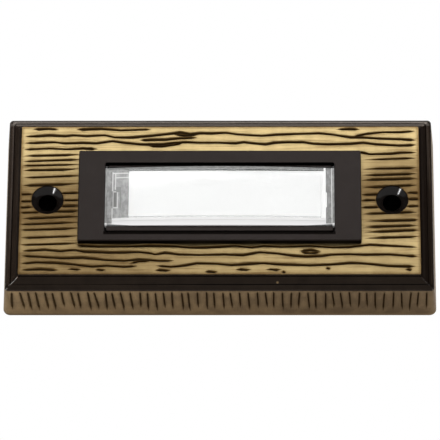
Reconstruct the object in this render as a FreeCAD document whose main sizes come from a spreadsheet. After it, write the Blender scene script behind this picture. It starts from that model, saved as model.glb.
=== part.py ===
import FreeCAD, Part
import math
import os
import random
import re
import Sketcher

# Lit push button with a name card, on a cast plate that is screwed to a door frame.
# The back of the plate is the plane y = 0, the front looks along -Y and +Z is up.
# A height below is a distance out from the wall, so a point at that height has y = -height.
# The origin is the middle of the plate's back.

doc = FreeCAD.newDocument("door_push_button")
sizes = doc.addObject("Spreadsheet::Sheet", "sizes")

driving_sizes = (
    ("opening_width", 45.5, "opening that the button works in"),
    ("opening_tall", 15.87, "opening that the button works in"),
    ("opening_corner", 0.5, "corner radius of the opening"),
    ("bezel_side", 5.225, "raised frame at each side of the opening"),
    ("bezel_above", 2.79, "raised frame above the opening"),
    ("bezel_below", 1.79, "raised frame below the opening"),
    ("panel_width", 11.575, "carved face at each side of the frame"),
    ("strip_above", 6.18, "carved face above the frame"),
    ("strip_below", 6.78, "carved face below the frame"),
    ("face_height", 11.0, "wall to the carved face"),
    ("wall_height", 8.9, "wall to the top of the side walls"),
    ("wall_draft", 0.7, "how far the side walls lean in"),
    ("moulding_run", 2.6, "width of the moulding round the face"),
    ("bead_run", 0.95, "round bead along the moulding's outer edge"),
    ("bead_rise", 0.65, "round bead along the moulding's outer edge"),
    ("quirk_run", 0.24, "narrow groove between the bead and the cove"),
    ("quirk_deep", 0.12, "narrow groove between the bead and the cove"),
    ("step_lean", 0.1, "lean of the step up to the face"),
    ("face_step", 0.35, "step from the moulding up to the face"),
    ("wall_corner", 1.4, "corner radius at the wall"),
    ("face_corner", 0.25, "corner radius at the face"),
    ("shell_wall", 1.8, "thickness of the cast side walls"),
    ("front_wall", 1.8, "thickness of the cast front"),
    ("screw_out", 6.125, "frame to the middle of each fixing hole"),
    ("screw_hole_radius", 1.85, "clearance hole for a no. 6 screw"),
    ("countersink_radius", 3.15, "countersink at the face"),
    ("countersink_deep", 1.6, "depth of the countersink"),
    ("boss_radius", 3.9, "post behind each fixing hole"),
    ("rib_thick", 1.4, "web from each post to the walls"),
    ("rib_height", 7.0, "wall side of the web to the front"),
    ("groove_deep", 0.32, "carved grooves at their deepest"),
    ("groove_half", 0.34, "half the width of a groove of the face"),
    ("groove_margin", 0.1, "plain edge at the ends of the grooves"),
    ("row_under", 1.2, "how far the left rows run on under the frame"),
    ("row_under_right", 0.2, "how far the right rows run on under the frame"),
    ("row_into_sink", 0.3, "how far the rows run into a countersink"),
    ("row_rise", 0.45, "how much higher the right end of a row lies"),
    ("stroke_half", 0.24, "half the width of a stroke of the side walls"),
    ("stroke_pitch", 1.68, "between two strokes of the side walls"),
    ("stroke_foot", 1.5, "plain edge below the strokes"),
    ("stroke_head", 0.12, "plain edge above the strokes"),
    ("bezel_rise", 1.4, "frame's stand above the carved face"),
    ("bezel_corner", 0.4, "corner radius of the frame"),
    ("bezel_edge", 0.18, "bevel along the frame's front edge"),
    ("lip_thick", 1.6, "front of the housing that stops the button"),
    ("lip_reach", 2.85, "how far the lip covers each end of the cavity"),
    ("housing_wall", 0.82, "side walls of the housing"),
    ("window_gap", 0.15, "clearance of the housing in the plate's window"),
    ("clip_reach", 0.8, "snap hooks behind the plate's front"),
    ("clip_tall", 5.0, "width of each snap hook"),
    ("clip_rise", 1.6, "height of each snap hook"),
    ("clip_gap", 0.1, "play between a hook and the front wall"),
    ("post_width", 2.6, "corner posts in the housing"),
    ("post_tall", 2.6, "corner posts in the housing"),
    ("post_rise", 2.2, "corner posts above the board"),
    ("board_back", 2.9, "wall to the back of the contact board"),
    ("board_thick", 1.5, "contact board"),
    ("travel", 1.2, "how far the button goes in"),
    ("stop_gap", 0.1, "play under the lip at rest"),
    ("button_end_gap", 0.4, "button frame in the opening, each end"),
    ("button_side_gap", 0.49, "button frame in the opening, above and below"),
    ("flange_gap", 0.3, "button flange in the cavity, each end"),
    ("flange_side_gap", 0.15, "button flange in the cavity, above and below"),
    ("flange_thick", 1.7, "flange that the lip holds in"),
    ("tray_seat", 1.3, "front of the frame to the seat of the cap"),
    ("rail_seat", 0.5, "front of the frame to the button's rails"),
    ("tray_thick", 0.9, "floor under the card"),
    ("tray_wall", 1.35, "skirt of the button frame"),
    ("tray_window_end", 3.4, "floor left at each end of the light windows"),
    ("tray_window_side", 1.6, "floor left along the light windows"),
    ("tray_bar", 5.0, "bar across the floor that carries the plunger"),
    ("plunger_radius", 1.2, "plunger that presses the leaf"),
    ("plunger_gap", 0.15, "plunger over the leaf at rest"),
    ("overtravel", 0.15, "travel left when the contacts close"),
    ("cap_end_gap", 0.5, "clear cap in the opening, each end"),
    ("rail_above", 0.28, "rail of the button frame above the cap"),
    ("rail_below", 1.2, "rail of the button frame below the cap"),
    ("rail_gap", 0.035, "cap between the rails"),
    ("cap_rise", 1.0, "crown of the cap above the frame"),
    ("cap_bow", 0.55, "fall of the crown towards each end"),
    ("cap_bevel_run", 1.25, "bevel along the cap's long edges"),
    ("cap_bevel_drop", 0.94, "bevel along the cap's long edges"),
    ("cap_corner", 0.45, "upright corners of the cap"),
    ("cap_end_wall", 1.35, "end walls of the cap"),
    ("cap_side_wall", 1.05, "side walls of the cap"),
    ("cap_ceiling", 0.35, "front of the frame to the cap's flat inside"),
    ("tab_inset", 0.7, "end of the cap to its snap tabs"),
    ("tab_thick", 0.9, "snap tab"),
    ("tab_tall", 4.1, "width of a snap tab"),
    ("tab_hook", 0.4, "reach of a snap tab's hook"),
    ("tab_gap", 0.15, "snap tab in its slot"),
    ("tab_below", 0.9, "hook below the tray's floor"),
    ("card_play", 2.7, "length that the name card may slide"),
    ("card_side_gap", 0.1, "name card in the cap, above and below"),
    ("card_thick", 0.3, "name card"),
    ("card_gap", 0.03, "card under the cap and over the diffuser"),
    ("diffuser_thick", 0.35, "rim of the diffuser under the cap's walls"),
    ("diffuser_gap", 0.25, "raised middle of the diffuser inside the cap"),
    ("strip_thick", 0.35, "contact strips"),
    ("strip_tall", 3.2, "contact strips"),
    ("terminal_offset", 13.0, "middle to each terminal"),
    ("terminal_radius", 1.3, "shank of a terminal screw"),
    ("terminal_head_radius", 2.3, "head of a terminal screw"),
    ("terminal_head_rise", 1.5, "head of a terminal screw"),
    ("washer_radius", 2.7, "terminal washer"),
    ("washer_thick", 0.5, "terminal washer"),
    ("nut_width", 4.2, "square nut of a terminal"),
    ("nut_thick", 1.2, "square nut of a terminal"),
    ("screw_tip_rise", 0.45, "screw past its nut"),
    ("hole_gap", 0.12, "clearance holes in the board"),
    ("fit_gap", 0.03, "screw in its nut or post"),
    ("slot_width", 0.55, "driver slots"),
    ("slot_deep", 0.6, "driver slots"),
    ("leaf_free_end", 1.9, "leaf past the middle"),
    ("leaf_slope", 4.6, "run of the leaf's slope"),
    ("contact_radius", 0.9, "silver contacts"),
    ("contact_rise", 0.6, "silver contacts"),
    ("contact_shank", 0.45, "shank of a silver contact"),
    ("rivet_radius", 0.6, "rivets of the strips"),
    ("rivet_head_radius", 1.05, "rivets of the strips"),
    ("rivet_head_rise", 0.45, "rivets of the strips"),
    ("spring_radius", 1.0, "return spring, middle of the wire"),
    ("spring_wire", 0.3, "wire of the return spring"),
    ("spring_turns", 5.0, "turns of the return spring"),
    ("spring_pocket", 0.9, "pocket in the button's flange"),
    ("spring_pin_radius", 0.68, "pin on the board inside the spring"),
    ("spring_pin_rise", 1.1, "pin on the board inside the spring"),
    ("spring_seat_gap", 0.05, "play of a spring at each end"),
    ("board_screw_radius", 0.65, "screws that hold the board"),
    ("board_screw_head", 1.25, "head radius of a board screw"),
    ("board_screw_head_rise", 0.8, "head of a board screw"),
    ("board_screw_grip", 1.7, "board screw into its post"),
    ("peg_radius", 0.7, "locating pegs of the board"),
    ("lamp_offset", 6.0, "middle to the lamp"),
    ("lamp_lift", 4.3, "lamp above the button's middle"),
    ("lamp_radius", 1.5, "lamp"),
    ("lamp_flange", 0.25, "rim at the lamp's foot"),
    ("lamp_flange_rise", 0.8, "rim at the lamp's foot"),
    ("lamp_rise", 4.0, "board to the top of the lamp"),
    ("lead_radius", 0.25, "leads of the lamp and resistor"),
    ("lead_spread", 1.27, "half the distance between the lamp's leads"),
    ("lead_tail", 0.6, "leads of the lamp behind the board"),
    ("resistor_radius", 0.85, "resistor"),
    ("resistor_length", 3.4, "resistor"),
    ("resistor_offset", 6.0, "middle to the resistor"),
    ("resistor_drop", 4.3, "resistor below the button's middle"),
    ("resistor_span", 5.4, "between the resistor's leads"),
)

for row, (alias, size, note) in enumerate(driving_sizes, start=1):
    sizes.set(f"A{row}", note)
    sizes.set(f"B{row}", str(size))
    sizes.setAlias(f"B{row}", alias)
doc.recompute()
aliases = {alias for alias, size, note in driving_sizes}

# Levels and places that several pieces share, written with the names above
bezel_half = "(opening_width / 2 + bezel_side)"
face_half = f"({bezel_half} + panel_width)"
face_half_tall = "((strip_below + bezel_below + opening_tall + bezel_above + strip_above) / 2)"
plate_half = f"({face_half} + moulding_run + wall_draft)"
plate_half_tall = f"({face_half_tall} + moulding_run + wall_draft)"
button_mid = f"(strip_below + bezel_below + opening_tall / 2 - {face_half_tall})"
bezel_low = f"(strip_below - {face_half_tall})"
bezel_high = f"({face_half_tall} - strip_above)"
bezel_mid = f"(({bezel_low} + {bezel_high}) / 2)"
bezel_half_tall = f"(({bezel_high} - {bezel_low}) / 2)"
screw_mid = f"({bezel_half} + screw_out)"
moulding_top = "(face_height - face_step)"
inner_front = "(face_height - front_wall)"
bezel_front = "(face_height + bezel_rise)"
lip_back = f"({bezel_front} - lip_thick)"
board_front = "(board_back + board_thick)"
cavity_half = "(opening_width / 2 + lip_reach)"
housing_half = f"({cavity_half} + housing_wall)"
housing_side = "(opening_tall / 2 + housing_wall)"
flange_front = f"({lip_back} - stop_gap)"
flange_back = f"({flange_front} - flange_thick)"
flange_half = f"({cavity_half} - flange_gap)"
tray_front = f"({bezel_front} - tray_seat)"
tray_back = f"({tray_front} - tray_thick)"
frame_half = "(opening_width / 2 - button_end_gap)"
frame_side = "(opening_tall / 2 - button_side_gap)"
cap_half = "(opening_width / 2 - cap_end_gap)"
cap_side = f"({frame_side} - (rail_above + rail_below) / 2 - rail_gap)"
cap_mid = f"({button_mid} + (rail_below - rail_above) / 2)"
cap_foot = f"({tray_front} + diffuser_thick)"
cap_inside = f"({cap_side} - cap_side_wall)"
ceiling = f"({bezel_front} - cap_ceiling)"
tab_far = f"({cap_half} - tab_inset)"
tab_near = f"({tab_far} - tab_thick)"
card_front = f"({ceiling} - card_gap)"
card_back = f"({card_front} - card_thick)"
skirt_half = f"({tab_far} + tab_hook + tab_gap)"
skirt_side = f"({frame_side} - tray_wall)"
spring_mid = f"((opening_width / 2 + {flange_half}) / 2)"
post_mid = f"({cavity_half} - post_width / 2)"
post_side = "(opening_tall / 2 - post_tall / 2)"
strip_front = f"({board_front} + strip_thick)"
strip_end = "(terminal_offset + nut_width / 2 + strip_thick)"
rivet_offset = "(terminal_offset - washer_radius - rivet_head_radius - hole_gap * 2)"
leaf_bend_low = f"({rivet_offset} - rivet_head_radius - strip_thick)"
leaf_bend_high = f"({leaf_bend_low} - leaf_slope)"
leaf_rise = "(strip_thick + contact_rise * 2 + travel - plunger_gap - overtravel)"
leaf_back = f"({board_front} + {leaf_rise})"
leaf_front = f"({leaf_back} + strip_thick)"
plunger_tip = f"({leaf_front} + plunger_gap)"

small_sides = 12
round_sides = 20


def bound(text):
    """Spell a formula of size names the way an expression of the document needs it."""
    return re.sub(r"[a-z_]+", lambda m: f"sizes.{m[0]}" if m[0] in aliases else m[0], text)


def worth(text):
    """The number that a formula of size names comes to."""
    return float(sizes.evalExpression(bound(str(text))))


def sketch_on(body, name, height="0", plane="XZ_Plane"):
    """A sketch on one of the body's planes; on XZ it faces the front, so its offset is a height."""
    sketch = body.newObject("Sketcher::SketchObject", name)
    support = [item for item in body.Origin.OriginFeatures if item.Role == plane][0]
    sketch.AttachmentSupport = [(support, "")]
    sketch.MapMode = "FlatFace"
    sketch.setExpression("AttachmentOffset.Base.z", bound(height))
    return sketch


def place_point(sketch, index, end, across, up):
    """Tie one point of a sketch to its place from the sketch's origin."""
    for kind, formula in (("DistanceX", across), ("DistanceY", up)):
        number = sketch.addConstraint(Sketcher.Constraint(kind, -1, 1, index, end, worth(formula)))
        sketch.setExpression(f"Constraints[{number}]", bound(formula))


def outline(sketch, points):
    """Closed outline of straight lines through points given as two formulas each."""
    first = sketch.GeometryCount
    count = len(points)
    places = [FreeCAD.Vector(worth(across), worth(up), 0) for across, up in points]
    for i in range(count):
        sketch.addGeometry(Part.LineSegment(places[i], places[(i + 1) % count]), False)
    for i in range(count):
        following = first + (i + 1) % count
        sketch.addConstraint(Sketcher.Constraint("Coincident", first + i, 2, following, 1))
    for i, (across, up) in enumerate(points):
        place_point(sketch, first + i, 1, across, up)


def rectangle(sketch, left, right, low, high):
    outline(sketch, ((left, low), (right, low), (right, high), (left, high)))


def centred(sketch, half_width, half_tall, mid="0"):
    """Rectangle about the middle line, its middle at the height mid of the sketch."""
    rectangle(sketch, f"-({half_width})", half_width, f"{mid} - ({half_tall})", f"{mid} + {half_tall}")


def circle(sketch, across, up, radius):
    index = sketch.addGeometry(
        Part.Circle(FreeCAD.Vector(worth(across), worth(up), 0), FreeCAD.Vector(0, 0, 1), worth(radius)),
        False,
    )
    place_point(sketch, index, 3, across, up)
    number = sketch.addConstraint(Sketcher.Constraint("Radius", index, worth(radius)))
    sketch.setExpression(f"Constraints[{number}]", bound(radius))


def small_round(sketch, across, up, radius):
    """Many-sided hole or pin, for the smallest ones."""
    points = []
    for i in range(small_sides):
        angle = 2 * math.pi * i / small_sides
        points.append((
            f"{across} + ({radius}) * {math.cos(angle):.5f}",
            f"{up} + ({radius}) * {math.sin(angle):.5f}",
        ))
    outline(sketch, points)


def rounded(sketch, half_width, half_tall, radius, mid="0"):
    """Rectangle with round corners: four arcs placed by their middles, joined by tangent lines."""
    turn = math.pi / 2
    wide, tall, bend, middle = worth(half_width), worth(half_tall), worth(radius), worth(mid)
    signs = ((1, 1), (-1, 1), (-1, -1), (1, -1))
    arcs = []
    for quarter, (sx, sz) in enumerate(signs):
        centre = FreeCAD.Vector(sx * (wide - bend), middle + sz * (tall - bend), 0)
        arc = Part.ArcOfCircle(
            Part.Circle(centre, FreeCAD.Vector(0, 0, 1), bend), quarter * turn, (quarter + 1) * turn
        )
        arcs.append(sketch.addGeometry(arc, False))
    for i in range(4):
        start = sketch.getPoint(arcs[i], 2)
        stop = sketch.getPoint(arcs[(i + 1) % 4], 1)
        line = sketch.addGeometry(Part.LineSegment(start, stop), False)
        sketch.addConstraint(Sketcher.Constraint("Tangent", arcs[i], 2, line, 1))
        sketch.addConstraint(Sketcher.Constraint("Tangent", line, 2, arcs[(i + 1) % 4], 1))
    for arc, (sx, sz) in zip(arcs, signs):
        across = f"{sx} * ({half_width} - ({radius}))"
        up = f"{mid} + {sz} * ({half_tall} - ({radius}))"
        place_point(sketch, arc, 3, across, up)
        number = sketch.addConstraint(Sketcher.Constraint("Radius", arc, bend))
        sketch.setExpression(f"Constraints[{number}]", bound(radius))


def pad(body, name, sketch, length, reverse=False, both_ways=False):
    feature = body.newObject("PartDesign::Pad", name)
    feature.Profile = sketch
    feature.setExpression("Length", bound(length))
    feature.Reversed = reverse
    feature.Midplane = both_ways
    doc.recompute()
    return feature


def pocket(body, name, sketch, depth, forward=False, taper=None):
    """Cut from the sketch towards the wall, or forward, away from it."""
    before = body.Shape.Volume
    feature = body.newObject("PartDesign::Pocket", name)
    feature.Profile = sketch
    feature.setExpression("Length", bound(depth))
    feature.Reversed = forward
    if taper:
        feature.setExpression("TaperAngle", bound(taper))
    doc.recompute()
    if body.Shape.Volume >= before:
        raise ValueError(f"{name} cuts nothing")
    return feature


def bevel_edges(body, name, size, wanted):
    """Chamfer the body's edges that the test picks."""
    tip = body.Tip
    names = [f"Edge{i}" for i, edge in enumerate(tip.Shape.Edges, start=1) if wanted(edge)]
    if not names:
        raise ValueError(f"{name} finds no edge")
    bevel = body.newObject("PartDesign::Chamfer", name)
    bevel.Base = (tip, names)
    bevel.setExpression("Size", bound(size))
    doc.recompute()
    return bevel


def lean_sides(body, name, base, angle):
    """Lean the upright sides of a pad in towards the front, about its foot on the wall."""
    upright = [
        f"Face{i}"
        for i, face in enumerate(base.Shape.Faces, start=1)
        if abs(face.normalAt(0, 0).y) < 1e-6
    ]
    wall_plane = [item for item in body.Origin.OriginFeatures if item.Role == "XZ_Plane"][0]
    lean = body.newObject("PartDesign::Draft", name)
    lean.Base = (base, upright)
    lean.NeutralPlane = (wall_plane, [""])
    lean.setExpression("Angle", bound(angle))
    doc.recompute()
    if body.Shape.Volume >= base.Shape.Volume:
        lean.Reversed = True
        doc.recompute()
    return lean


def at_height(edge, height):
    """Whether an edge lies flat at a height from the wall."""
    box = edge.BoundBox
    near = 1e-4
    return abs(box.YMin + height) < near and abs(box.YMax + height) < near


def rod(name, radius, low, high, across="0", up="0", sides=small_sides):
    """Bar with many sides, or a true round one where it has none, from one height to another."""
    if sides:
        bar = doc.addObject("Part::Prism", name)
        bar.Polygon = sides
        bar.setExpression("Circumradius", bound(radius))
    else:
        bar = doc.addObject("Part::Cylinder", name)
        bar.setExpression("Radius", bound(radius))
    bar.setExpression("Height", bound(f"({high}) - ({low})"))
    bar.Placement.Rotation = FreeCAD.Rotation(FreeCAD.Vector(1, 0, 0), 90)
    bar.setExpression("Placement.Base.x", bound(across))
    bar.setExpression("Placement.Base.y", bound(f"-({low})"))
    bar.setExpression("Placement.Base.z", bound(up))
    return bar


def block(name, left, right, below, above, low, high):
    """Box by its sides, its lower and upper edge and its two heights from the wall."""
    box = doc.addObject("Part::Box", name)
    box.setExpression("Length", bound(f"({right}) - ({left})"))
    box.setExpression("Width", bound(f"({high}) - ({low})"))
    box.setExpression("Height", bound(f"({above}) - ({below})"))
    box.setExpression("Placement.Base.x", bound(left))
    box.setExpression("Placement.Base.y", bound(f"-({high})"))
    box.setExpression("Placement.Base.z", bound(below))
    return box


def fused(name, pieces):
    joined = doc.addObject("Part::MultiFuse", name)
    joined.Shapes = pieces
    joined.Refine = True
    return joined


def cut(name, base, tool):
    result = doc.addObject("Part::Cut", name)
    result.Base = base
    result.Tool = tool
    return result


def moulding_levels():
    """Inset from the outline at the wall and height of each level of the moulding, up to the face."""
    bead_steps = 4
    cove_steps = 4
    levels = []
    for step in range(bead_steps + 1):
        angle = math.pi / 2 * step / bead_steps
        inset = f"wall_draft + bead_run * {1 - math.cos(angle):.5f}"
        levels.append((inset, f"wall_height + bead_rise * {math.sin(angle):.5f}"))
    levels.append(("wall_draft + bead_run + quirk_run / 2", "wall_height + bead_rise - quirk_deep"))
    cove_start = "(wall_draft + bead_run + quirk_run)"
    cove_run = "(moulding_run - bead_run - quirk_run - step_lean)"
    cove_rise = f"({moulding_top} - wall_height - bead_rise)"
    for step in range(cove_steps + 1):
        angle = math.pi / 2 * step / cove_steps
        inset = f"{cove_start} + {cove_run} * {math.sin(angle):.5f}"
        height = f"wall_height + bead_rise + {cove_rise} * {1 - math.cos(angle):.5f}"
        levels.append((inset, height))
    levels.append(("wall_draft + moulding_run", "face_height"))
    return levels


def plate_casting():
    """Hollow casting: leaning side walls, moulding, raised face, window, screw posts and ribs."""
    body = doc.addObject("PartDesign::Body", "plate_casting")
    foot = sketch_on(body, "plate_foot_outline")
    rounded(foot, plate_half, plate_half_tall, "wall_corner")
    walls = pad(body, "walls", foot, "wall_height")
    lean_sides(body, "leaning_walls", walls, "atan(wall_draft / wall_height)")

    outside = []
    for number, (inset, height) in enumerate(moulding_levels()):
        sketch = sketch_on(body, f"plate_level_{number}", height)
        fall = "(wall_corner - wall_draft - face_corner) / moulding_run"
        bend = f"wall_corner - wall_draft - {fall} * ({inset} - wall_draft)"
        rounded(sketch, f"{plate_half} - ({inset})", f"{plate_half_tall} - ({inset})", bend)
        outside.append(sketch)
    loft = body.newObject("PartDesign::AdditiveLoft", "plate_outside")
    loft.Profile = outside[0]
    loft.Sections = outside[1:]
    loft.Ruled = True
    doc.recompute()

    hollow_levels = (
        ("shell_wall", "0"),
        ("shell_wall + wall_draft", "wall_height - front_wall"),
        ("shell_wall + wall_draft + moulding_run", inner_front),
    )
    hollow = []
    for number, (inset, height) in enumerate(hollow_levels):
        sketch = sketch_on(body, f"hollow_level_{number}", height)
        centred(sketch, f"{plate_half} - ({inset})", f"{plate_half_tall} - ({inset})")
        hollow.append(sketch)
    inside = body.newObject("PartDesign::SubtractiveLoft", "plate_hollow")
    inside.Profile = hollow[0]
    inside.Sections = hollow[1:]
    inside.Ruled = True
    doc.recompute()

    posts = sketch_on(body, "screw_posts_outline")
    for side in ("-", ""):
        circle(posts, f"{side}{screw_mid}", "0", "boss_radius")
    pad(body, "screw_posts", posts, f"{inner_front} + front_wall / 4")

    wall_reach = "(wall_draft + shell_wall / 2)"
    slope_reach = "(shell_wall + wall_draft + moulding_run)"
    rib_back = f"({inner_front} - rib_height)"
    levels = (
        ("low", wall_reach, "(wall_height - front_wall)"),
        ("high", slope_reach, f"({inner_front} + front_wall / 4)"),
    )
    for name, reach, rib_front in levels:
        ribs = sketch_on(body, f"{name}_ribs_outline", rib_back)
        post_skin = "(boss_radius - rib_thick / 2)"
        for side in ("-", ""):
            mid = f"{side}{screw_mid}"
            outer = f"{side}({plate_half} - {reach})"
            inner = f"{side}({screw_mid} + {post_skin})"
            left, right = (outer, inner) if side else (inner, outer)
            rectangle(ribs, left, right, "-rib_thick / 2", "rib_thick / 2")
            wall = f"({plate_half_tall} - {reach})"
            for low, high in ((post_skin, wall), (f"-{wall}", f"-{post_skin}")):
                rectangle(ribs, f"{mid} - rib_thick / 2", f"{mid} + rib_thick / 2", low, high)
        pad(body, f"{name}_ribs", ribs, f"{rib_front} - {rib_back}")

    window = sketch_on(body, "window_outline", "face_height")
    centred(window, f"{housing_half} + window_gap", f"{housing_side} + window_gap", button_mid)
    pocket(body, "window", window, "front_wall * 2")

    holes = sketch_on(body, "screw_holes_outline", "face_height")
    for side in ("-", ""):
        circle(holes, f"{side}{screw_mid}", "0", "screw_hole_radius")
    pocket(body, "screw_holes", holes, "face_height")

    sinks = sketch_on(body, "countersinks_outline", "face_height")
    for side in ("-", ""):
        circle(sinks, f"{side}{screw_mid}", "0", "countersink_radius")
    lean = "-atan((countersink_radius - screw_hole_radius) / countersink_deep)"
    pocket(body, "countersinks", sinks, "countersink_deep", taper=lean)
    return body


def share(low, high, part):
    return low + (high - low) * part


def with_shoulders(path, taper):
    """The path with a point just inside each tip, so that a groove is full soon after its tip."""
    def towards(tip, following):
        length = math.dist(tip, following)
        part = min(taper / length, 0.5)
        return tuple(share(tip[axis], following[axis], part) for axis in range(2))

    return [path[0], towards(path[0], path[1]), *path[1:-1], towards(path[-1], path[-2]), path[-1]]


def carved_groove(path, swells, origin, across, up, half, deep):
    """V-shaped groove with pointed ends along a path on a flat face, as a solid of flat triangles.

    Between its tips the groove is as wide as each swell says, as a share of its usual width.
    """
    out = across.cross(up)
    lift = deep / 6
    wide = half * (deep + lift) / deep

    def on_face(a, b, height):
        return origin + across * a + up * b + out * height

    sections = []
    for i, swell in enumerate(swells, start=1):
        run_a = path[i + 1][0] - path[i - 1][0]
        run_b = path[i + 1][1] - path[i - 1][1]
        length = math.hypot(run_a, run_b)
        a, b = path[i]
        side_a, side_b = -run_b / length * wide * swell, run_a / length * wide * swell
        sections.append((
            on_face(a + side_a, b + side_b, lift),
            on_face(a - side_a, b - side_b, lift),
            on_face(a, b, -deep),
        ))
    triangles = []
    for end in (0, -1):
        tip = on_face(*path[end], lift)
        left, right, low = sections[end]
        triangles += [(tip, left, low), (tip, low, right), (tip, right, left)]
    for (left, right, low), (next_left, next_right, next_low) in zip(sections, sections[1:]):
        triangles += [
            (left, next_left, next_low), (left, next_low, low),
            (low, next_low, next_right), (low, next_right, right),
            (right, next_right, next_left), (right, next_left, left),
        ]
    shell = Part.Shell([Part.Face(Part.makePolygon([*corners, corners[0]])) for corners in triangles])
    solid = Part.Solid(shell)
    if solid.Volume < 0:
        solid.reverse()
    return solid


def panel_rows(side, row_places, hand):
    """Rows of a side panel, thick towards the edge; those beside a countersink stop at its rim."""
    half_tall = worth(face_half_tall)
    inner = worth(f"{bezel_half} - {'row_under' if side < 0 else 'row_under_right'}")
    outer = worth(face_half) - worth("groove_margin")
    middle = worth(screw_mid)
    reach = worth("countersink_radius - row_into_sink")
    rise = worth("row_rise")
    rows = []
    for place in row_places:
        level = place * half_tall
        runs = [(inner, outer)]
        if abs(level) < reach:
            half = math.sqrt(reach ** 2 - level ** 2)
            runs = [(inner, middle - half), (middle + half, outer)]
        for start, stop in runs:
            row = []
            for part in (0, hand.uniform(0.2, 0.45), hand.uniform(0.8, 0.92), 1):
                across = share(start, stop, part)
                tilt = side * rise * (across - middle) / (outer - inner)
                row.append((side * across, level + tilt + hand.uniform(-0.08, 0.08)))
            rows.append(row)
    return rows


def face_lines():
    """Wood grain of the gold face: long wavy lines above and below the frame."""
    half_wide = worth(face_half)
    half_tall = worth(face_half_tall)
    lines = []
    # Each wavy line as shares of the face's half width and of the strip above or below the frame
    above = (
        ((-0.95, 0.91), (-0.86, 0.93), (-0.81, 0.9)),
        ((-0.73, 0.9), (-0.6, 0.93), (-0.5, 0.87), (-0.34, 0.91)),
        ((0.58, 0.9), (0.65, 0.92), (0.71, 0.9)),
        ((-0.99, 0.64), (-0.92, 0.66), (-0.86, 0.69), (-0.78, 0.66), (-0.74, 0.69), (-0.67, 0.66),
         (-0.58, 0.69), (-0.53, 0.61), (-0.44, 0.61), (-0.35, 0.67), (-0.28, 0.72), (-0.2, 0.8),
         (-0.15, 0.74), (-0.1, 0.77), (-0.04, 0.76), (0.03, 0.78), (0.09, 0.72), (0.15, 0.69),
         (0.21, 0.67), (0.28, 0.71), (0.4, 0.74), (0.5, 0.76), (0.57, 0.71), (0.66, 0.61),
         (0.72, 0.6), (0.81, 0.56), (0.91, 0.54), (0.995, 0.5)),
        ((-0.24, 0.72), (-0.18, 0.69), (-0.1, 0.71)),
        ((0.66, 0.62), (0.74, 0.74), (0.82, 0.8), (0.91, 0.8), (0.99, 0.84)),
        ((-0.99, 0.39), (-0.92, 0.41), (-0.83, 0.43), (-0.78, 0.39), (-0.69, 0.41), (-0.62, 0.39),
         (-0.54, 0.47), (-0.48, 0.41), (-0.4, 0.35), (-0.29, 0.35), (-0.23, 0.41), (-0.18, 0.43),
         (-0.1, 0.41), (0.0, 0.41), (0.08, 0.39), (0.12, 0.43), (0.17, 0.39), (0.23, 0.35),
         (0.27, 0.41), (0.34, 0.43), (0.42, 0.43), (0.47, 0.37), (0.54, 0.35), (0.66, 0.37),
         (0.72, 0.41), (0.79, 0.35), (0.9, 0.3), (0.995, 0.33)),
        ((-0.41, 0.5), (-0.35, 0.52), (-0.27, 0.53), (-0.2, 0.58), (-0.11, 0.6)),
        ((-0.37, 0.29), (-0.29, 0.28), (-0.23, 0.33), (-0.18, 0.41)),
        ((-0.99, 0.16), (-0.92, 0.18), (-0.86, 0.2), (-0.78, 0.17), (-0.69, 0.2), (-0.61, 0.17)),
        ((0.68, 0.1), (0.75, -0.02), (0.86, 0.0), (0.91, 0.04), (0.995, 0.04)),
    )
    below = (
        ((-0.72, 0.97), (-0.6, 0.92), (-0.47, 0.92), (-0.35, 0.95), (-0.22, 0.93), (-0.15, 0.88),
         (-0.06, 0.89), (0.03, 0.92), (0.08, 0.94), (0.16, 0.88), (0.22, 0.94), (0.31, 0.9),
         (0.45, 0.94), (0.56, 0.88), (0.65, 0.9), (0.7, 0.94), (0.75, 0.97), (0.84, 0.94),
         (0.99, 0.88)),
        ((-0.985, 0.76), (-0.87, 0.81), (-0.79, 0.76), (-0.72, 0.8), (-0.67, 0.75), (-0.56, 0.72),
         (-0.47, 0.72), (-0.4, 0.73), (-0.35, 0.7), (-0.32, 0.65), (-0.27, 0.71), (-0.2, 0.65),
         (-0.1, 0.63), (0.02, 0.65), (0.12, 0.63), (0.16, 0.68), (0.2, 0.72), (0.29, 0.68),
         (0.37, 0.61), (0.43, 0.58), (0.51, 0.6), (0.56, 0.64), (0.65, 0.66), (0.73, 0.64),
         (0.84, 0.65), (0.92, 0.61), (0.995, 0.58)),
        ((0.39, 0.75), (0.45, 0.8), (0.51, 0.75)),
        ((0.4, 0.72), (0.45, 0.69), (0.51, 0.73)),
        ((-0.99, 0.61), (-0.91, 0.58), (-0.78, 0.53), (-0.68, 0.55), (-0.57, 0.47), (-0.47, 0.44),
         (-0.4, 0.49), (-0.3, 0.44), (-0.22, 0.44)),
        ((-0.45, 0.34), (-0.4, 0.42), (-0.34, 0.42)),
        ((-0.99, 0.34), (-0.91, 0.39), (-0.82, 0.38), (-0.72, 0.32), (-0.63, 0.25), (-0.56, 0.28),
         (-0.47, 0.24), (-0.4, 0.27)),
        ((-0.32, 0.28), (-0.24, 0.24), (-0.17, 0.29), (-0.11, 0.36), (-0.01, 0.34), (0.06, 0.3),
         (0.15, 0.34), (0.22, 0.36), (0.31, 0.32), (0.45, 0.29), (0.56, 0.32), (0.65, 0.37),
         (0.7, 0.36), (0.77, 0.32), (0.84, 0.27), (0.98, 0.25)),
        ((-0.99, 0.13), (-0.89, 0.17), (-0.79, 0.13)),
    )
    low, high = worth(bezel_high), half_tall
    lines += [[(half_wide * a, share(low, high, b)) for a, b in line] for line in above]
    low, high = -half_tall, worth(bezel_low)
    lines += [[(half_wide * a, share(low, high, b)) for a, b in line] for line in below]
    return lines


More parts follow.
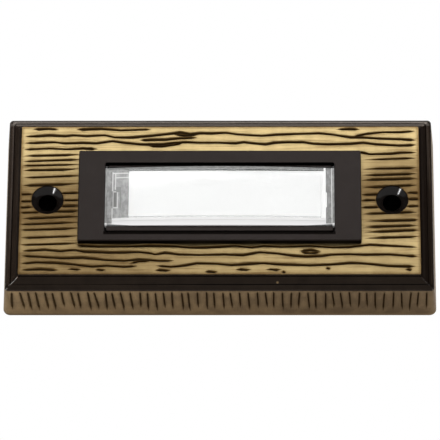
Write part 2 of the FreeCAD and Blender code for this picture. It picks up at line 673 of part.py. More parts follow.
def face_rows(hand):
    """Short rows of the grain at each side of the frame."""
    left = (0.61, 0.54, 0.475, 0.41, 0.315, 0.21, 0.085, -0.012, -0.09, -0.16, -0.24, -0.32,
            -0.395, -0.5, -0.6)
    right = (0.555, 0.43, 0.35, 0.28, 0.185, 0.085, 0.0, -0.095, -0.18, -0.28, -0.36, -0.425, -0.51)
    return panel_rows(-1, left, hand) + panel_rows(1, right, hand)


def face_knots():
    """Short wide cuts between the lines below the frame: middle, length."""
    half_wide = worth(face_half)
    low, high = -worth(face_half_tall), worth(bezel_low)
    places = (
        (-0.72, 0.15, 0.04), (-0.59, 0.13, 0.03), (-0.28, 0.12, 0.048), (-0.04, 0.07, 0.038),
        (0.12, 0.14, 0.044), (0.27, 0.14, 0.045), (0.32, 0.06, 0.012), (0.54, 0.18, 0.014),
        (0.94, 0.14, 0.02),
    )
    knots = []
    for a, b, reach in places:
        up = share(low, high, b)
        rise = worth("groove_half") / 3
        knots.append([
            (half_wide * (a - reach), up),
            (half_wide * (a - reach / 3), up + rise),
            (half_wide * (a + reach / 3), up),
            (half_wide * (a + reach), up + rise),
        ])
    return knots


def wall_strokes(hand):
    """Upright cuts along the four leaning side walls, uneven as if made by hand."""
    lean = math.atan2(worth("wall_draft"), worth("wall_height"))
    height = worth("wall_height") / math.cos(lean)
    strokes = []
    walls = (
        (worth(plate_half), worth(plate_half_tall), FreeCAD.Vector(1, 0, 0), FreeCAD.Vector(0, 0, 1)),
        (worth(plate_half_tall), worth(plate_half), FreeCAD.Vector(0, 0, 1), FreeCAD.Vector(1, 0, 0)),
    )
    for half_run, half_far, along, away in walls:
        for side in (-1, 1):
            foot = away * (side * half_far)
            rise = away * (-side * math.sin(lean)) + FreeCAD.Vector(0, -math.cos(lean), 0)
            run = along if along.cross(rise).dot(away) * side > 0 else along * -1
            reach = half_run - worth("wall_corner * 1.5")
            count = round(reach * 2 / worth("stroke_pitch"))
            for number in range(count + 1):
                part = number / count
                boldness = 1 - min(part * 2.5, 1)
                place = share(-reach, reach, part) + hand.uniform(-0.2, 0.2)
                lean_over = -share(0.1, 0.45, boldness) + hand.uniform(-0.18, 0.18)
                if number in (0, count):
                    lean_over = 0
                start = worth("stroke_foot") + hand.uniform(-0.4, 1.1)
                stop = height - worth("stroke_head") - hand.uniform(0, 0.3)
                path = [
                    (place - lean_over, start),
                    (place - lean_over * 0.5 + hand.uniform(-0.1, 0.1), share(start, stop, 0.28)),
                    (place + lean_over * 0.7 + hand.uniform(-0.1, 0.1), share(start, stop, 0.88)),
                    (place + lean_over, stop),
                ]
                swells = [share(0.9, 1.5, boldness), share(0.8, 1.1, boldness)]
                strokes.append((path, swells, foot, run, rise))
    return strokes


def face_carving():
    """All the carved grooves, as one tool that the casting is cut with."""
    hand = random.Random(7)
    deep = worth("groove_deep")
    half = worth("groove_half")
    face = (FreeCAD.Vector(0, -worth("face_height"), 0), FreeCAD.Vector(1, 0, 0), FreeCAD.Vector(0, 0, 1))
    paths = [with_shoulders(line, half * 4) for line in face_lines()]
    paths += face_rows(hand) + face_knots()
    grooves = []
    for path in paths:
        swells = [hand.uniform(0.7, 1.2) for point in path[1:-1]]
        grooves.append(carved_groove(path, swells, *face, half, deep))
    for path, swells, foot, run, rise in wall_strokes(hand):
        grooves.append(carved_groove(path, swells, foot, run, rise, worth("stroke_half"), deep * 0.8))
    carving = doc.addObject("Part::Feature", "face_carving")
    carving.Shape = Part.makeCompound(grooves)
    return carving


def face_plate():
    """The casting with its wood grain cut in."""
    return cut("face_plate", plate_casting(), face_carving())


def switch_housing():
    """Moulded frame round the button with the box behind it, its snap hooks and its corner posts."""
    body = doc.addObject("PartDesign::Body", "switch_housing")
    frame = sketch_on(body, "frame_outline", "face_height")
    rounded(frame, bezel_half, bezel_half_tall, "bezel_corner", bezel_mid)
    pad(body, "frame", frame, "bezel_rise")
    bevel_edges(body, "frame_edge", "bezel_edge", lambda edge: at_height(edge, worth(bezel_front)))

    box = sketch_on(body, "box_outline", board_front)
    centred(box, housing_half, housing_side, button_mid)
    pad(body, "box", box, f"face_height + bezel_rise / 2 - {board_front}")

    cavity = sketch_on(body, "cavity_outline", board_front)
    centred(cavity, cavity_half, "opening_tall / 2", button_mid)
    pocket(body, "cavity", cavity, f"{lip_back} - {board_front}", forward=True)

    opening = sketch_on(body, "opening_outline", bezel_front)
    rounded(opening, "opening_width / 2", "opening_tall / 2", "opening_corner", button_mid)
    pocket(body, "opening", opening, "lip_thick * 2")

    posts = sketch_on(body, "corner_posts_outline", board_front)
    for across in (f"-{post_mid}", post_mid):
        for up in (f"{button_mid} - {post_side}", f"{button_mid} + {post_side}"):
            grown = "+ housing_wall / 4"
            rectangle(
                posts,
                f"{across} - post_width / 2 {grown if across == post_mid else '- housing_wall / 4'}",
                f"{across} + post_width / 2 {grown}",
                f"{up} - post_tall / 2",
                f"{up} + post_tall / 2",
            )
    pad(body, "corner_posts", posts, "post_rise")

    pegs = sketch_on(body, "pegs_outline", board_front)
    small_round(pegs, post_mid, f"{button_mid} + {post_side}", "peg_radius")
    small_round(pegs, f"-{post_mid}", f"{button_mid} - {post_side}", "peg_radius")
    pad(body, "pegs", pegs, "board_thick", reverse=True)

    pilots = sketch_on(body, "pilot_holes_outline", board_front)
    small_round(pilots, post_mid, f"{button_mid} - {post_side}", "board_screw_radius + fit_gap")
    small_round(pilots, f"-{post_mid}", f"{button_mid} + {post_side}", "board_screw_radius + fit_gap")
    pocket(body, "pilot_holes", pilots, "board_screw_grip + screw_tip_rise / 2", forward=True)

    hook_front = f"({inner_front} - clip_gap)"
    for side, name in (("-", "left"), ("", "right")):
        hook = sketch_on(body, f"{name}_hook_outline", f"{button_mid} - clip_tall / 2", "XY_Plane")
        root = f"{side}({housing_half} - housing_wall / 2)"
        skin = f"{side}{housing_half}"
        tip = f"{side}({housing_half} + clip_reach)"
        points = (
            (root, f"-({hook_front} - clip_rise)"),
            (skin, f"-({hook_front} - clip_rise)"),
            (tip, f"-({hook_front} - clip_rise / 3)"),
            (tip, f"-{hook_front}"),
            (root, f"-{hook_front}"),
        )
        outline(hook, points)
        pad(body, f"{name}_hook", hook, "clip_tall")
    return body


def button_carrier():
    """Dark frame that slides in the housing: rails, tray floor with slots and windows, flange, plunger."""
    body = doc.addObject("PartDesign::Body", "button_carrier")
    flange = sketch_on(body, "flange_outline", flange_back)
    centred(flange, flange_half, "opening_tall / 2 - flange_side_gap", button_mid)
    pad(body, "flange", flange, "flange_thick")

    neck = sketch_on(body, "neck_outline", flange_back)
    rounded(neck, frame_half, frame_side, "opening_corner", button_mid)
    pad(body, "neck", neck, f"{bezel_front} - rail_seat - {flange_back}")

    seat = sketch_on(body, "cap_seat_outline", f"{bezel_front} - rail_seat")
    centred(seat, "opening_width / 2", f"{cap_side} + rail_gap", cap_mid)
    pocket(body, "cap_seat", seat, "tray_seat - rail_seat")

    hollow = sketch_on(body, "skirt_hollow_outline", flange_back)
    centred(hollow, skirt_half, skirt_side, button_mid)
    pocket(body, "skirt_hollow", hollow, f"{tray_back} - {flange_back}", forward=True)

    slots = sketch_on(body, "tab_slots_outline", tray_front)
    for side in ("-", ""):
        near = f"{side}({tab_near} - tab_gap)"
        far = f"{side}({tab_far} + tab_gap)"
        left, right = (far, near) if side else (near, far)
        low = f"{cap_mid} - (tab_tall / 2 + tab_gap)"
        high = f"{cap_mid} + tab_tall / 2 + tab_gap"
        rectangle(slots, left, right, low, high)
    pocket(body, "tab_slots", slots, "tray_thick * 1.5")

    windows = sketch_on(body, "light_windows_outline", tray_front)
    far_end = f"({tab_near} - tray_window_end)"
    for left, right in ((f"-{far_end}", "-tray_bar / 2"), ("tray_bar / 2", far_end)):
        low = f"{cap_mid} - ({cap_side} - tray_window_side)"
        high = f"{cap_mid} + {cap_side} - tray_window_side"
        rectangle(windows, left, right, low, high)
    pocket(body, "light_windows", windows, "tray_thick * 1.5")

    pockets = sketch_on(body, "spring_pockets_outline", flange_back)
    for side in ("-", ""):
        pocket_radius = "spring_radius + spring_wire / 2 + spring_seat_gap * 3"
        small_round(pockets, f"{side}{spring_mid}", button_mid, pocket_radius)
    pocket(body, "spring_pockets", pockets, "spring_pocket", forward=True)

    plunger = sketch_on(body, "plunger_outline", plunger_tip)
    small_round(plunger, "0", button_mid, "plunger_radius")
    pad(body, "plunger", plunger, f"{tray_back} + tray_thick / 2 - {plunger_tip}")
    return body


def button_lens():
    """Clear cap: bowed crown with bevelled long edges, flat inside, a snap tab at each end."""
    body = doc.addObject("PartDesign::Body", "button_lens")
    crown = f"({bezel_front} + cap_rise)"
    bow_radius = f"(({cap_half}^2 + cap_bow^2) / (2 * cap_bow))"
    section = sketch_on(body, "cap_section", "0", "YZ_Plane")
    skin = f"-({crown} - cap_bevel_drop)"
    base = f"-({tray_front} - tray_seat)"
    side = cap_side
    flat = f"({cap_side} - cap_bevel_run)"
    points = (
        (base, f"{cap_mid} - {side}"),
        (base, f"{cap_mid} + {side}"),
        (skin, f"{cap_mid} + {side}"),
        (f"-{crown}", f"{cap_mid} + {flat}"),
        (f"-{crown}", f"{cap_mid} - {flat}"),
        (skin, f"{cap_mid} - {side}"),
    )
    outline(section, points)
    axis_depth = f"({bow_radius} - {crown})"
    depth, half = worth(axis_depth), worth(side)
    line = Part.LineSegment(FreeCAD.Vector(depth, -half, 0), FreeCAD.Vector(depth, half, 0))
    axis = section.addGeometry(line, True)
    place_point(section, axis, 1, axis_depth, f"-{side}")
    place_point(section, axis, 2, axis_depth, side)
    doc.recompute()
    bowed = body.newObject("PartDesign::Revolution", "bowed_cap")
    bowed.Profile = section
    bowed.ReferenceAxis = (section, ["Axis0"])
    bowed.setExpression("Angle", bound(f"3 * asin({cap_half} / {bow_radius})"))
    bowed.Midplane = True
    doc.recompute()

    ends = sketch_on(body, "cap_trim_outline", "0")
    rounded(ends, cap_half, cap_side, "cap_corner", cap_mid)
    centred(ends, f"{cap_half} * 2", f"{cap_side} * 2", cap_mid)
    pocket(body, "cap_trim", ends, f"{crown} * 2", forward=True)

    foot = sketch_on(body, "cap_foot_outline", cap_foot)
    centred(foot, f"{cap_half} * 2", f"{cap_side} * 2", cap_mid)
    pocket(body, "cap_foot", foot, "tray_seat * 3")

    inside = sketch_on(body, "cap_inside_outline", tray_front)
    centred(inside, f"{cap_half} - cap_end_wall", cap_inside, cap_mid)
    pocket(body, "cap_inside", inside, f"{ceiling} - {tray_front}", forward=True)

    low, high = f"-({ceiling} + card_thick)", f"-({tray_back} - tab_gap)"
    for sign, name in (("-", "left"), ("", "right")):
        tab = sketch_on(body, f"{name}_tab_outline", f"{cap_mid} - tab_tall / 2", "XY_Plane")
        near = f"{sign}{tab_near}"
        far = f"{sign}{tab_far}"
        hook = f"{sign}({tab_far} + tab_hook)"
        tip = f"-({tray_back} - tab_gap - tab_below)"
        points = ((near, low), (far, low), (far, high), (hook, high), (far, tip), (near, tip))
        outline(tab, points)
        pad(body, f"{name}_tab", tab, "tab_tall")
    return body


def card_and_diffuser():
    """White name card under the cap, on a milky plate whose rim carries the cap's walls."""
    body = doc.addObject("PartDesign::Body", "light_diffuser")
    rim = sketch_on(body, "diffuser_rim_outline", tray_front)
    centred(rim, cap_half, cap_side, cap_mid)
    pad(body, "diffuser_rim", rim, "diffuser_thick")
    middle = sketch_on(body, "diffuser_middle_outline", tray_front)
    centred(middle, f"{tab_near} - diffuser_gap", f"{cap_inside} - diffuser_gap", cap_mid)
    pad(body, "diffuser_middle", middle, f"{card_back} - card_gap - {tray_front}")
    slots = sketch_on(body, "diffuser_slots_outline", cap_foot)
    for side in ("-", ""):
        near = f"{side}({tab_near} - tab_gap)"
        far = f"{side}({tab_far} + tab_gap)"
        left, right = (far, near) if side else (near, far)
        half = "(tab_tall / 2 + tab_gap)"
        rectangle(slots, left, right, f"{cap_mid} - {half}", f"{cap_mid} + {half}")
    pocket(body, "diffuser_slots", slots, "diffuser_thick * 2")

    card_side = f"({cap_inside} - card_side_gap)"
    below, above = f"{cap_mid} - {card_side}", f"{cap_mid} + {card_side}"
    right = f"{tab_near} - card_gap"
    left = f"card_play + card_gap - {tab_near}"
    card = block("name_card", left, right, below, above, card_back, card_front)
    return [body, card]


def contact_board():
    """Insulating board that closes the housing, with two pins for the springs."""
    body = doc.addObject("PartDesign::Body", "board_blank")
    plate = sketch_on(body, "board_outline", "board_back")
    centred(plate, housing_half, housing_side, button_mid)
    pad(body, "board", plate, "board_thick")

    pin_top = f"{board_front} + spring_pin_rise"
    pins = [
        rod(f"{name}_spring_pin", "spring_pin_radius", "board_back", pin_top, f"{side}{spring_mid}",
            button_mid)
        for name, side in (("left", "-"), ("right", ""))
    ]
    solid = fused("board_with_pins", [body, *pins])

    post_low, post_high = f"{button_mid} - {post_side}", f"{button_mid} + {post_side}"
    lamp_up = f"{button_mid} + lamp_lift"
    small_holes = (
        ("left_rivet", f"-{rivet_offset}", button_mid, "rivet_radius + fit_gap"),
        ("right_rivet", rivet_offset, button_mid, "rivet_radius + fit_gap"),
        ("contact", "0", button_mid, "contact_shank + fit_gap"),
        ("left_peg", f"-{post_mid}", post_low, "peg_radius + fit_gap"),
        ("right_peg", post_mid, post_high, "peg_radius + fit_gap"),
        ("left_screw", f"-{post_mid}", post_high, "board_screw_radius + hole_gap"),
        ("right_screw", post_mid, post_low, "board_screw_radius + hole_gap"),
        ("left_lead", "-lamp_offset - lead_spread", lamp_up, "lead_radius + fit_gap"),
        ("right_lead", "-lamp_offset + lead_spread", lamp_up, "lead_radius + fit_gap"),
    )
    tools = [
        rod(f"{name}_hole", radius, "0", "face_height", across, up)
        for name, across, up, radius in small_holes
    ]
    tools += [
        rod(f"{name}_terminal_hole", "terminal_radius + hole_gap", "0", "face_height",
            f"{side}terminal_offset", button_mid)
        for name, side in (("left", "-"), ("right", ""))
    ]
    return cut("contact_board", solid, fused("board_holes", tools))


def contact_strips():
    """Fixed strip with its silver contact, and the springy leaf that the plunger bends down to it."""
    low, high = f"{button_mid} - strip_tall / 2", f"{button_mid} + strip_tall / 2"
    strip = block("strip_blank", f"-{strip_end}", "strip_tall / 2", low, high, board_front, strip_front)
    hole_places = (
        ("terminal", "terminal_radius + hole_gap", "-terminal_offset"),
        ("rivet", "rivet_radius + fit_gap", f"-{rivet_offset}"),
        ("contact", "contact_shank + fit_gap", "0"),
    )
    holes = [
        rod(f"strip_{name}_hole", radius, "0", "face_height", across, button_mid)
        for name, radius, across in hole_places
    ]
    fixed = cut("fixed_contact", strip, fused("strip_holes", holes))

    leaf = doc.addObject("PartDesign::Body", "leaf_contact")
    profile = sketch_on(leaf, "leaf_profile", button_mid, "XY_Plane")
    points = (
        (strip_end, f"-{board_front}"),
        (leaf_bend_low, f"-{board_front}"),
        (leaf_bend_high, f"-{leaf_back}"),
        ("-leaf_free_end", f"-{leaf_back}"),
        ("-leaf_free_end", f"-{leaf_front}"),
        (f"{leaf_bend_high} + strip_thick / 2", f"-{leaf_front}"),
        (f"{leaf_bend_low} + strip_thick / 2", f"-{strip_front}"),
        (strip_end, f"-{strip_front}"),
    )
    outline(profile, points)
    pad(leaf, "leaf", profile, "strip_tall", both_ways=True)
    leaf_holes = sketch_on(leaf, "leaf_holes_outline", leaf_front)
    small_round(leaf_holes, "terminal_offset", button_mid, "terminal_radius + hole_gap")
    small_round(leaf_holes, rivet_offset, button_mid, "rivet_radius + fit_gap")
    small_round(leaf_holes, "0", button_mid, "contact_shank + fit_gap")
    pocket(leaf, "leaf_holes", leaf_holes, f"{leaf_rise} + strip_thick * 2")

    contact_front = f"{strip_front} + contact_rise"
    contact_back = f"{leaf_back} - contact_rise"
    stepped = (
        ("fixed_contact_rivet", "0", (("contact_radius", strip_front, contact_front),
                                      ("contact_shank", "board_back", strip_front))),
        ("leaf_contact_rivet", "0", (("contact_radius", contact_back, leaf_back),
                                     ("contact_shank", leaf_back, leaf_front))),
    )
    pieces = [fixed, leaf]
    for name, across, steps in stepped + tuple(
        (name, f"{sign}{rivet_offset}", (
            ("rivet_head_radius", strip_front, f"{strip_front} + rivet_head_rise"),
            ("rivet_radius", "board_back", strip_front),
            ("rivet_head_radius", "board_back - rivet_head_rise", "board_back"),
        ))
        for sign, name in (("-", "strip_rivet"), ("", "leaf_rivet"))
    ):
        parts = [
            rod(f"{name}_step_{number}", radius, back, front, across, button_mid)
            for number, (radius, back, front) in enumerate(steps)
        ]
        pieces.append(fused(name, parts))
    return pieces


def terminals():
    """On each side a slotted screw from the back, a washer for the wire and a square nut inside."""
    pieces = []
    nut_front = f"{strip_front} + nut_thick"
    washer_back = "(board_back - washer_thick)"
    for sign, name in (("-", "left"), ("", "right")):
        across = f"{sign}terminal_offset"
        blank = rod(
            f"washer_blank_{name}",
            "washer_radius",
            washer_back,
            "board_back",
            across,
            button_mid,
            round_sides,
        )
        hole_radius = "terminal_radius + hole_gap"
        hole = rod(f"washer_hole_{name}", hole_radius, "0", "face_height", across, button_mid)
        washer = cut(f"terminal_washer_{name}", blank, hole)
        half = "nut_width / 2"
        nut = cut(
            f"terminal_nut_{name}",
            block(
                f"nut_blank_{name}",
                f"{across} - {half}",
                f"{across} + {half}",
                f"{button_mid} - {half}",
                f"{button_mid} + {half}",
                strip_front,
                nut_front,
            ),
            rod(f"nut_hole_{name}", "terminal_radius + fit_gap", "0", "face_height", across, button_mid),
        )
        head_back = f"{washer_back} - terminal_head_rise"
        tip = f"{nut_front} + screw_tip_rise"
        head_radius = "terminal_head_radius"
        head = rod(
            f"terminal_head_{name}", head_radius, head_back, washer_back, across, button_mid, round_sides
        )
        shank = rod(f"terminal_shank_{name}", "terminal_radius", washer_back, tip, across, button_mid)
        whole = fused(f"terminal_blank_{name}", [head, shank])
        slot = block(
            f"terminal_slot_{name}",
            f"{across} - terminal_head_radius * 2",
            f"{across} + terminal_head_radius * 2",
            f"{button_mid} - slot_width / 2",
            f"{button_mid} + slot_width / 2",
            f"{head_back} - slot_deep",
            f"{head_back} + slot_deep",
        )
        pieces += [washer, nut, cut(f"terminal_screw_{name}", whole, slot)]
    return pieces


def board_screws():
    """Two small slotted screws that hold the board to the corner posts, diagonally."""
    pieces = []
    head_back = "(board_back - board_screw_head_rise)"
    places = (
        ("left", f"-{post_mid}", f"{button_mid} + {post_side}"),
        ("right", post_mid, f"{button_mid} - {post_side}"),
    )
    for name, across, up in places:
        whole = fused(
            f"board_screw_blank_{name}",
            [
                rod(
                    f"board_screw_head_{name}",
                    "board_screw_head",
                    head_back,
                    "board_back",
                    across,
                    up,
                    round_sides,
                ),
                rod(
                    f"board_screw_shank_{name}",
                    "board_screw_radius",
                    "board_back",
                    f"{board_front} + board_screw_grip",
                    across,
                    up,
                ),
            ],
        )
        slot = block(
            f"board_screw_slot_{name}",
            f"{across} - board_screw_head * 2",
            f"{across} + board_screw_head * 2",
            f"{up} - slot_width / 2",
            f"{up} + slot_width / 2",
            f"{head_back} - slot_deep / 2",
            f"{head_back} + slot_deep / 2",
        )
        pieces.append(cut(f"board_screw_{name}", whole, slot))
    return pieces


def lamp_and_resistor():
    """Small round lamp that lights the card from behind, and the resistor beside it."""
    lamp_up = f"{button_mid} + lamp_lift"
    lamp_top = f"({board_front} + lamp_rise)"
    shoulder = f"({lamp_top} - lamp_radius / 2)"
    top = doc.addObject("Part::Cone", "lamp_top")
    top.setExpression("Radius1", bound("lamp_radius"))
    top.setExpression("Radius2", bound("lamp_radius / 2"))
    top.setExpression("Height", bound("lamp_radius / 2"))
    top.Placement.Rotation = FreeCAD.Rotation(FreeCAD.Vector(1, 0, 0), 90)
    top.setExpression("Placement.Base.x", bound("-lamp_offset"))
    top.setExpression("Placement.Base.y", bound(f"-{shoulder}"))
    top.setExpression("Placement.Base.z", bound(lamp_up))
    rim = f"{board_front} + lamp_flange_rise"
    parts = [
        top,
        rod("lamp_barrel", "lamp_radius", board_front, shoulder, "-lamp_offset", lamp_up, None),
        rod("lamp_rim", "lamp_radius + lamp_flange", board_front, rim, "-lamp_offset", lamp_up, None),
    ]
    tail = "board_back - lead_tail"
    for name, across in (("left", "-lamp_offset - lead_spread"), ("right", "-lamp_offset + lead_spread")):
        lead = rod(f"lamp_lead_{name}", "lead_radius", tail, board_front, across, lamp_up)
        parts.append(lead)
    lamp = fused("lamp", parts)

    resistor_up = f"{button_mid} - resistor_drop"
    axis_height = f"({board_front} + resistor_radius)"
    parts = []
    for name, radius, length in (
        ("resistor_barrel", "resistor_radius", "resistor_length"),
        ("resistor_wire", "lead_radius", "resistor_span"),
    ):
        bar = doc.addObject("Part::Prism", name)
        bar.Polygon = small_sides
        bar.setExpression("Circumradius", bound(radius))
        bar.setExpression("Height", bound(length))
        bar.Placement.Rotation = FreeCAD.Rotation(FreeCAD.Vector(0, 1, 0), 90)
        bar.setExpression("Placement.Base.x", bound(f"resistor_offset - {length} / 2"))
        bar.setExpression("Placement.Base.y", bound(f"-{axis_height}"))
        bar.setExpression("Placement.Base.z", bound(resistor_up))
        parts.append(bar)
    for name, across in (
        ("left", "resistor_offset - resistor_span / 2"),
        ("right", "resistor_offset + resistor_span / 2"),
    ):
        foot = rod(f"resistor_foot_{name}", "lead_radius", board_front, axis_height, across, resistor_up)
        parts.append(foot)
    return [lamp, fused("resistor", parts)]


def coil_solid(radius, wire_radius, length, turns):
    """Coil of wire round the z axis from 0 to its length, as flat faces between rings of corners."""
    turn_sides = 8
    wire_sides = 5
    rings = []
    for step in range(round(turns * turn_sides) + 1):
        angle = 2 * math.pi * step / turn_sides
        outward = FreeCAD.Vector(math.cos(angle), math.sin(angle), 0)
        middle = outward * radius + FreeCAD.Vector(0, 0, length * step / (turns * turn_sides))
        rings.append([
            middle + outward * (wire_radius * math.cos(2 * math.pi * side / wire_sides))
            + FreeCAD.Vector(0, 0, wire_radius * math.sin(2 * math.pi * side / wire_sides))
            for side in range(wire_sides)
        ])
    loops = [rings[0], rings[-1]]
    for ring, following in zip(rings, rings[1:]):
        for side in range(wire_sides):
            beside = (side + 1) % wire_sides
            loops.append([ring[side], ring[beside], following[side]])
            loops.append([ring[beside], following[beside], following[side]])
    shell = Part.Shell([Part.Face(Part.makePolygon([*loop, loop[0]])) for loop in loops])
    solid = Part.Solid(shell)
    if solid.Volume < 0:
        solid.reverse()
    return solid


def return_springs():
    """Two coil springs between the pins of the board and the pockets in the button's flange."""
    springs = []
    low = f"({board_front} + spring_seat_gap + spring_wire / 2)"
    high = f"({flange_back} + spring_pocket - spring_seat_gap - spring_wire / 2)"
    coil = coil_solid(
        worth("spring_radius"), worth("spring_wire / 2"), worth(f"{high} - {low}"), worth("spring_turns")
    )
    for sign, name in (("-", "left"), ("", "right")):
        spring = doc.addObject("Part::Feature", f"return_spring_{name}")
        spring.Shape = coil
        spring.Placement = FreeCAD.Placement(
            FreeCAD.Vector(worth(f"{sign}{spring_mid}"), -worth(low), worth(button_mid)),
            FreeCAD.Rotation(FreeCAD.Vector(1, 0, 0), 90),
        )
        springs.append(spring)
    return springs


sub_parts = [
    face_plate(),
    switch_housing(),
    button_carrier(),
    button_lens(),
    *card_and_diffuser(),
    contact_board(),
    *contact_strips(),
    *terminals(),
    *board_screws(),
    *lamp_and_resistor(),
    *return_springs(),
]
doc.recompute()

for item in doc.Objects:
    if "Invalid" in item.State or "Error" in item.State:
        raise RuntimeError(f"{item.Label} failed: {item.State}")
for item in sub_parts:
    if item.Shape.isNull() or not item.Shape.isValid() or not item.Shape.Solids:
        raise RuntimeError(f"{item.Label} has no valid solid")

os.makedirs("parts", exist_ok=True)
for item in sub_parts:
    item.Shape.exportStep(f"parts/{item.Label}.step")
    print(item.Label, len(item.Shape.Solids), round(item.Shape.Volume, 2))
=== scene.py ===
import math
import bpy
import bmesh
from mathutils import Matrix, Vector


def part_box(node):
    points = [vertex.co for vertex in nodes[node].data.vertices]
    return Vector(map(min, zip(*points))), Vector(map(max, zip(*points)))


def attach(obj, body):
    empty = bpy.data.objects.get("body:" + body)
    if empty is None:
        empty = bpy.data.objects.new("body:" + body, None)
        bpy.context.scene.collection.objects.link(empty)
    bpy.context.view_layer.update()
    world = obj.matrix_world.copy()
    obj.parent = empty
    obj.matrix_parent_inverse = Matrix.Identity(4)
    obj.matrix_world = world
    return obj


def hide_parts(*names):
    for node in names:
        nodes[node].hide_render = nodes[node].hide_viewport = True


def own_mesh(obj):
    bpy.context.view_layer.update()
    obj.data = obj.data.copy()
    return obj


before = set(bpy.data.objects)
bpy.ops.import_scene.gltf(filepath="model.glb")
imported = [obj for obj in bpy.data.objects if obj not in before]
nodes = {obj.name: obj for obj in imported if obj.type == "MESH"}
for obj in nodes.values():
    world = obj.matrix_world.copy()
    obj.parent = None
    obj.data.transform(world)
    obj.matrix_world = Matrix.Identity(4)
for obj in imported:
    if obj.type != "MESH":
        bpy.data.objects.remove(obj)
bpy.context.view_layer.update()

# Lit push button with a name card, on a carved brass plate. Metres, +Z up, the front looks along -Y.
mm = 0.001


def corners(name):
    # a node's lowest and highest corner in millimetres
    return [[value / mm for value in corner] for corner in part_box(name)]


print("stage: frame loaded,", len(nodes), "nodes")


# shader helpers

class Wire:
    # one socket of a node tree, so that shader maths can be written as sums and products
    def __init__(self, finish, socket):
        self.finish = finish
        self.socket = socket

    def math(self, operation, first, second=None):
        inputs = {0: first}
        if second is not None:
            inputs[1] = second
        return self.finish.node("ShaderNodeMath", {"operation": operation}, inputs)

    def __add__(self, other):
        return self.math("ADD", self, other)

    def __radd__(self, other):
        return self.math("ADD", other, self)

    def __sub__(self, other):
        return self.math("SUBTRACT", self, other)

    def __rsub__(self, other):
        return self.math("SUBTRACT", other, self)

    def __mul__(self, other):
        return self.math("MULTIPLY", self, other)

    def __rmul__(self, other):
        return self.math("MULTIPLY", other, self)

    def __truediv__(self, other):
        return self.math("DIVIDE", self, other)

    def __rtruediv__(self, other):
        return self.math("DIVIDE", other, self)

    def __pow__(self, other):
        return self.math("POWER", self, other)

    def __neg__(self):
        return self.math("MULTIPLY", self, -1)

    def __abs__(self):
        return self.math("ABSOLUTE", self)

    def most(self, other):
        return self.math("MAXIMUM", self, other)

    def least(self, other):
        return self.math("MINIMUM", self, other)

    def over(self, level):
        return self.math("GREATER_THAN", self, level)

    def between(self, low, high, soft=0.05):  # 1 from low to high, with soft ends
        return self.fade(low - soft, low + soft) * (1 - self.fade(high - soft, high + soft))

    def fade(self, start, stop):  # 0 at start, 1 at stop, smooth between them
        settings = {"interpolation_type": "SMOOTHSTEP"}
        inputs = {"Value": self, "From Min": start, "From Max": stop}
        return self.finish.node("ShaderNodeMapRange", settings, inputs)


class Finish:
    # one material, and the nodes that make it
    def __init__(self, name):
        self.material = bpy.data.materials.new(name)
        self.material.use_nodes = True
        self.tree = self.material.node_tree
        self.tree.nodes.clear()
        self.output = self.tree.nodes.new("ShaderNodeOutputMaterial")

    def node(self, kind, settings=None, inputs=None, output=0):
        made = self.tree.nodes.new(kind)
        for key, value in (settings or {}).items():
            setattr(made, key, value)
        for key, value in (inputs or {}).items():
            socket = made.inputs[key]
            if isinstance(value, Wire):
                self.tree.links.new(value.socket, socket)
            elif isinstance(value, (tuple, list)) and socket.type == "RGBA":
                socket.default_value = (*value[:3], 1)
            else:
                socket.default_value = value
        return Wire(self, made.outputs[output])

    def place(self, scale=1000.0):  # the piece's own coordinates in millimetres, which move with it
        spot = self.node("ShaderNodeTexCoord", output="Object")
        settings = {"operation": "SCALE"}
        return self.node("ShaderNodeVectorMath", settings, {0: spot, "Scale": scale})

    def axes(self, spot):
        return [self.node("ShaderNodeSeparateXYZ", {}, {0: spot}, output) for output in range(3)]

    def stretched(self, spot, across, out, up):
        settings = {"operation": "MULTIPLY"}
        return self.node("ShaderNodeVectorMath", settings, {0: spot, 1: (across, out, up)})

    def noise(self, spot, scale, detail=3.0, rough=0.55, distort=0.0):
        inputs = {"Vector": spot, "Scale": scale, "Detail": detail, "Roughness": rough}
        inputs["Distortion"] = distort
        return self.node("ShaderNodeTexNoise", {}, inputs)

    def nearCuts(self, reach, strength):  # 1 at a cut or an edge of the piece, 0 further than reach away
        settings = {"samples": 8, "inside": True, "only_local": True}
        bare = self.node("ShaderNodeAmbientOcclusion", settings, {"Distance": reach}, 1)
        return ((1 - bare) * strength).least(1.0)

    def facing(self, axis):  # how far a face looks along an axis, from its true normal
        flat = self.node("ShaderNodeNewGeometry", output="True Normal")
        return self.node("ShaderNodeSeparateXYZ", {}, {0: flat}, axis)

    def mix(self, share, first, second, blend="MIX"):
        settings = {"data_type": "RGBA", "blend_type": blend}
        return self.node("ShaderNodeMix", settings, {"Factor": share, 6: first, 7: second}, 2)

    def blendNumber(self, share, first, second):
        return share * (second - first) + first

    def bump(self, height, distance, strength=0.4):
        return self.node("ShaderNodeBump", {}, {"Height": height, "Distance": distance, "Strength": strength})

    def surface(self, **sockets):
        names = {
            "colour": "Base Color", "metal": "Metallic", "rough": "Roughness", "normal": "Normal",
            "ior": "IOR", "coat": "Coat Weight", "coatRough": "Coat Roughness",
            "glow": "Emission Color", "glowStrength": "Emission Strength",
            "through": "Transmission Weight", "shine": "Specular IOR Level",
        }
        inputs = {names[key]: value for key, value in sockets.items()}
        return self.node("ShaderNodeBsdfPrincipled", {}, inputs)

    def done(self, shader):
        self.tree.links.new(shader.socket, self.output.inputs["Surface"])
        return self.material


def dress(name, material):
    # puts a material into every slot of a carried-over node
    piece = nodes[name]
    if not piece.material_slots:
        piece.data.materials.append(material)
    for slot in piece.material_slots:
        slot.material = material


def newPiece(name, mesh, finish):
    data = bpy.data.meshes.new(name)
    mesh.to_mesh(data)
    mesh.free()
    data.materials.append(finish)
    piece = bpy.data.objects.new(name, data)
    bpy.context.collection.objects.link(piece)
    return piece


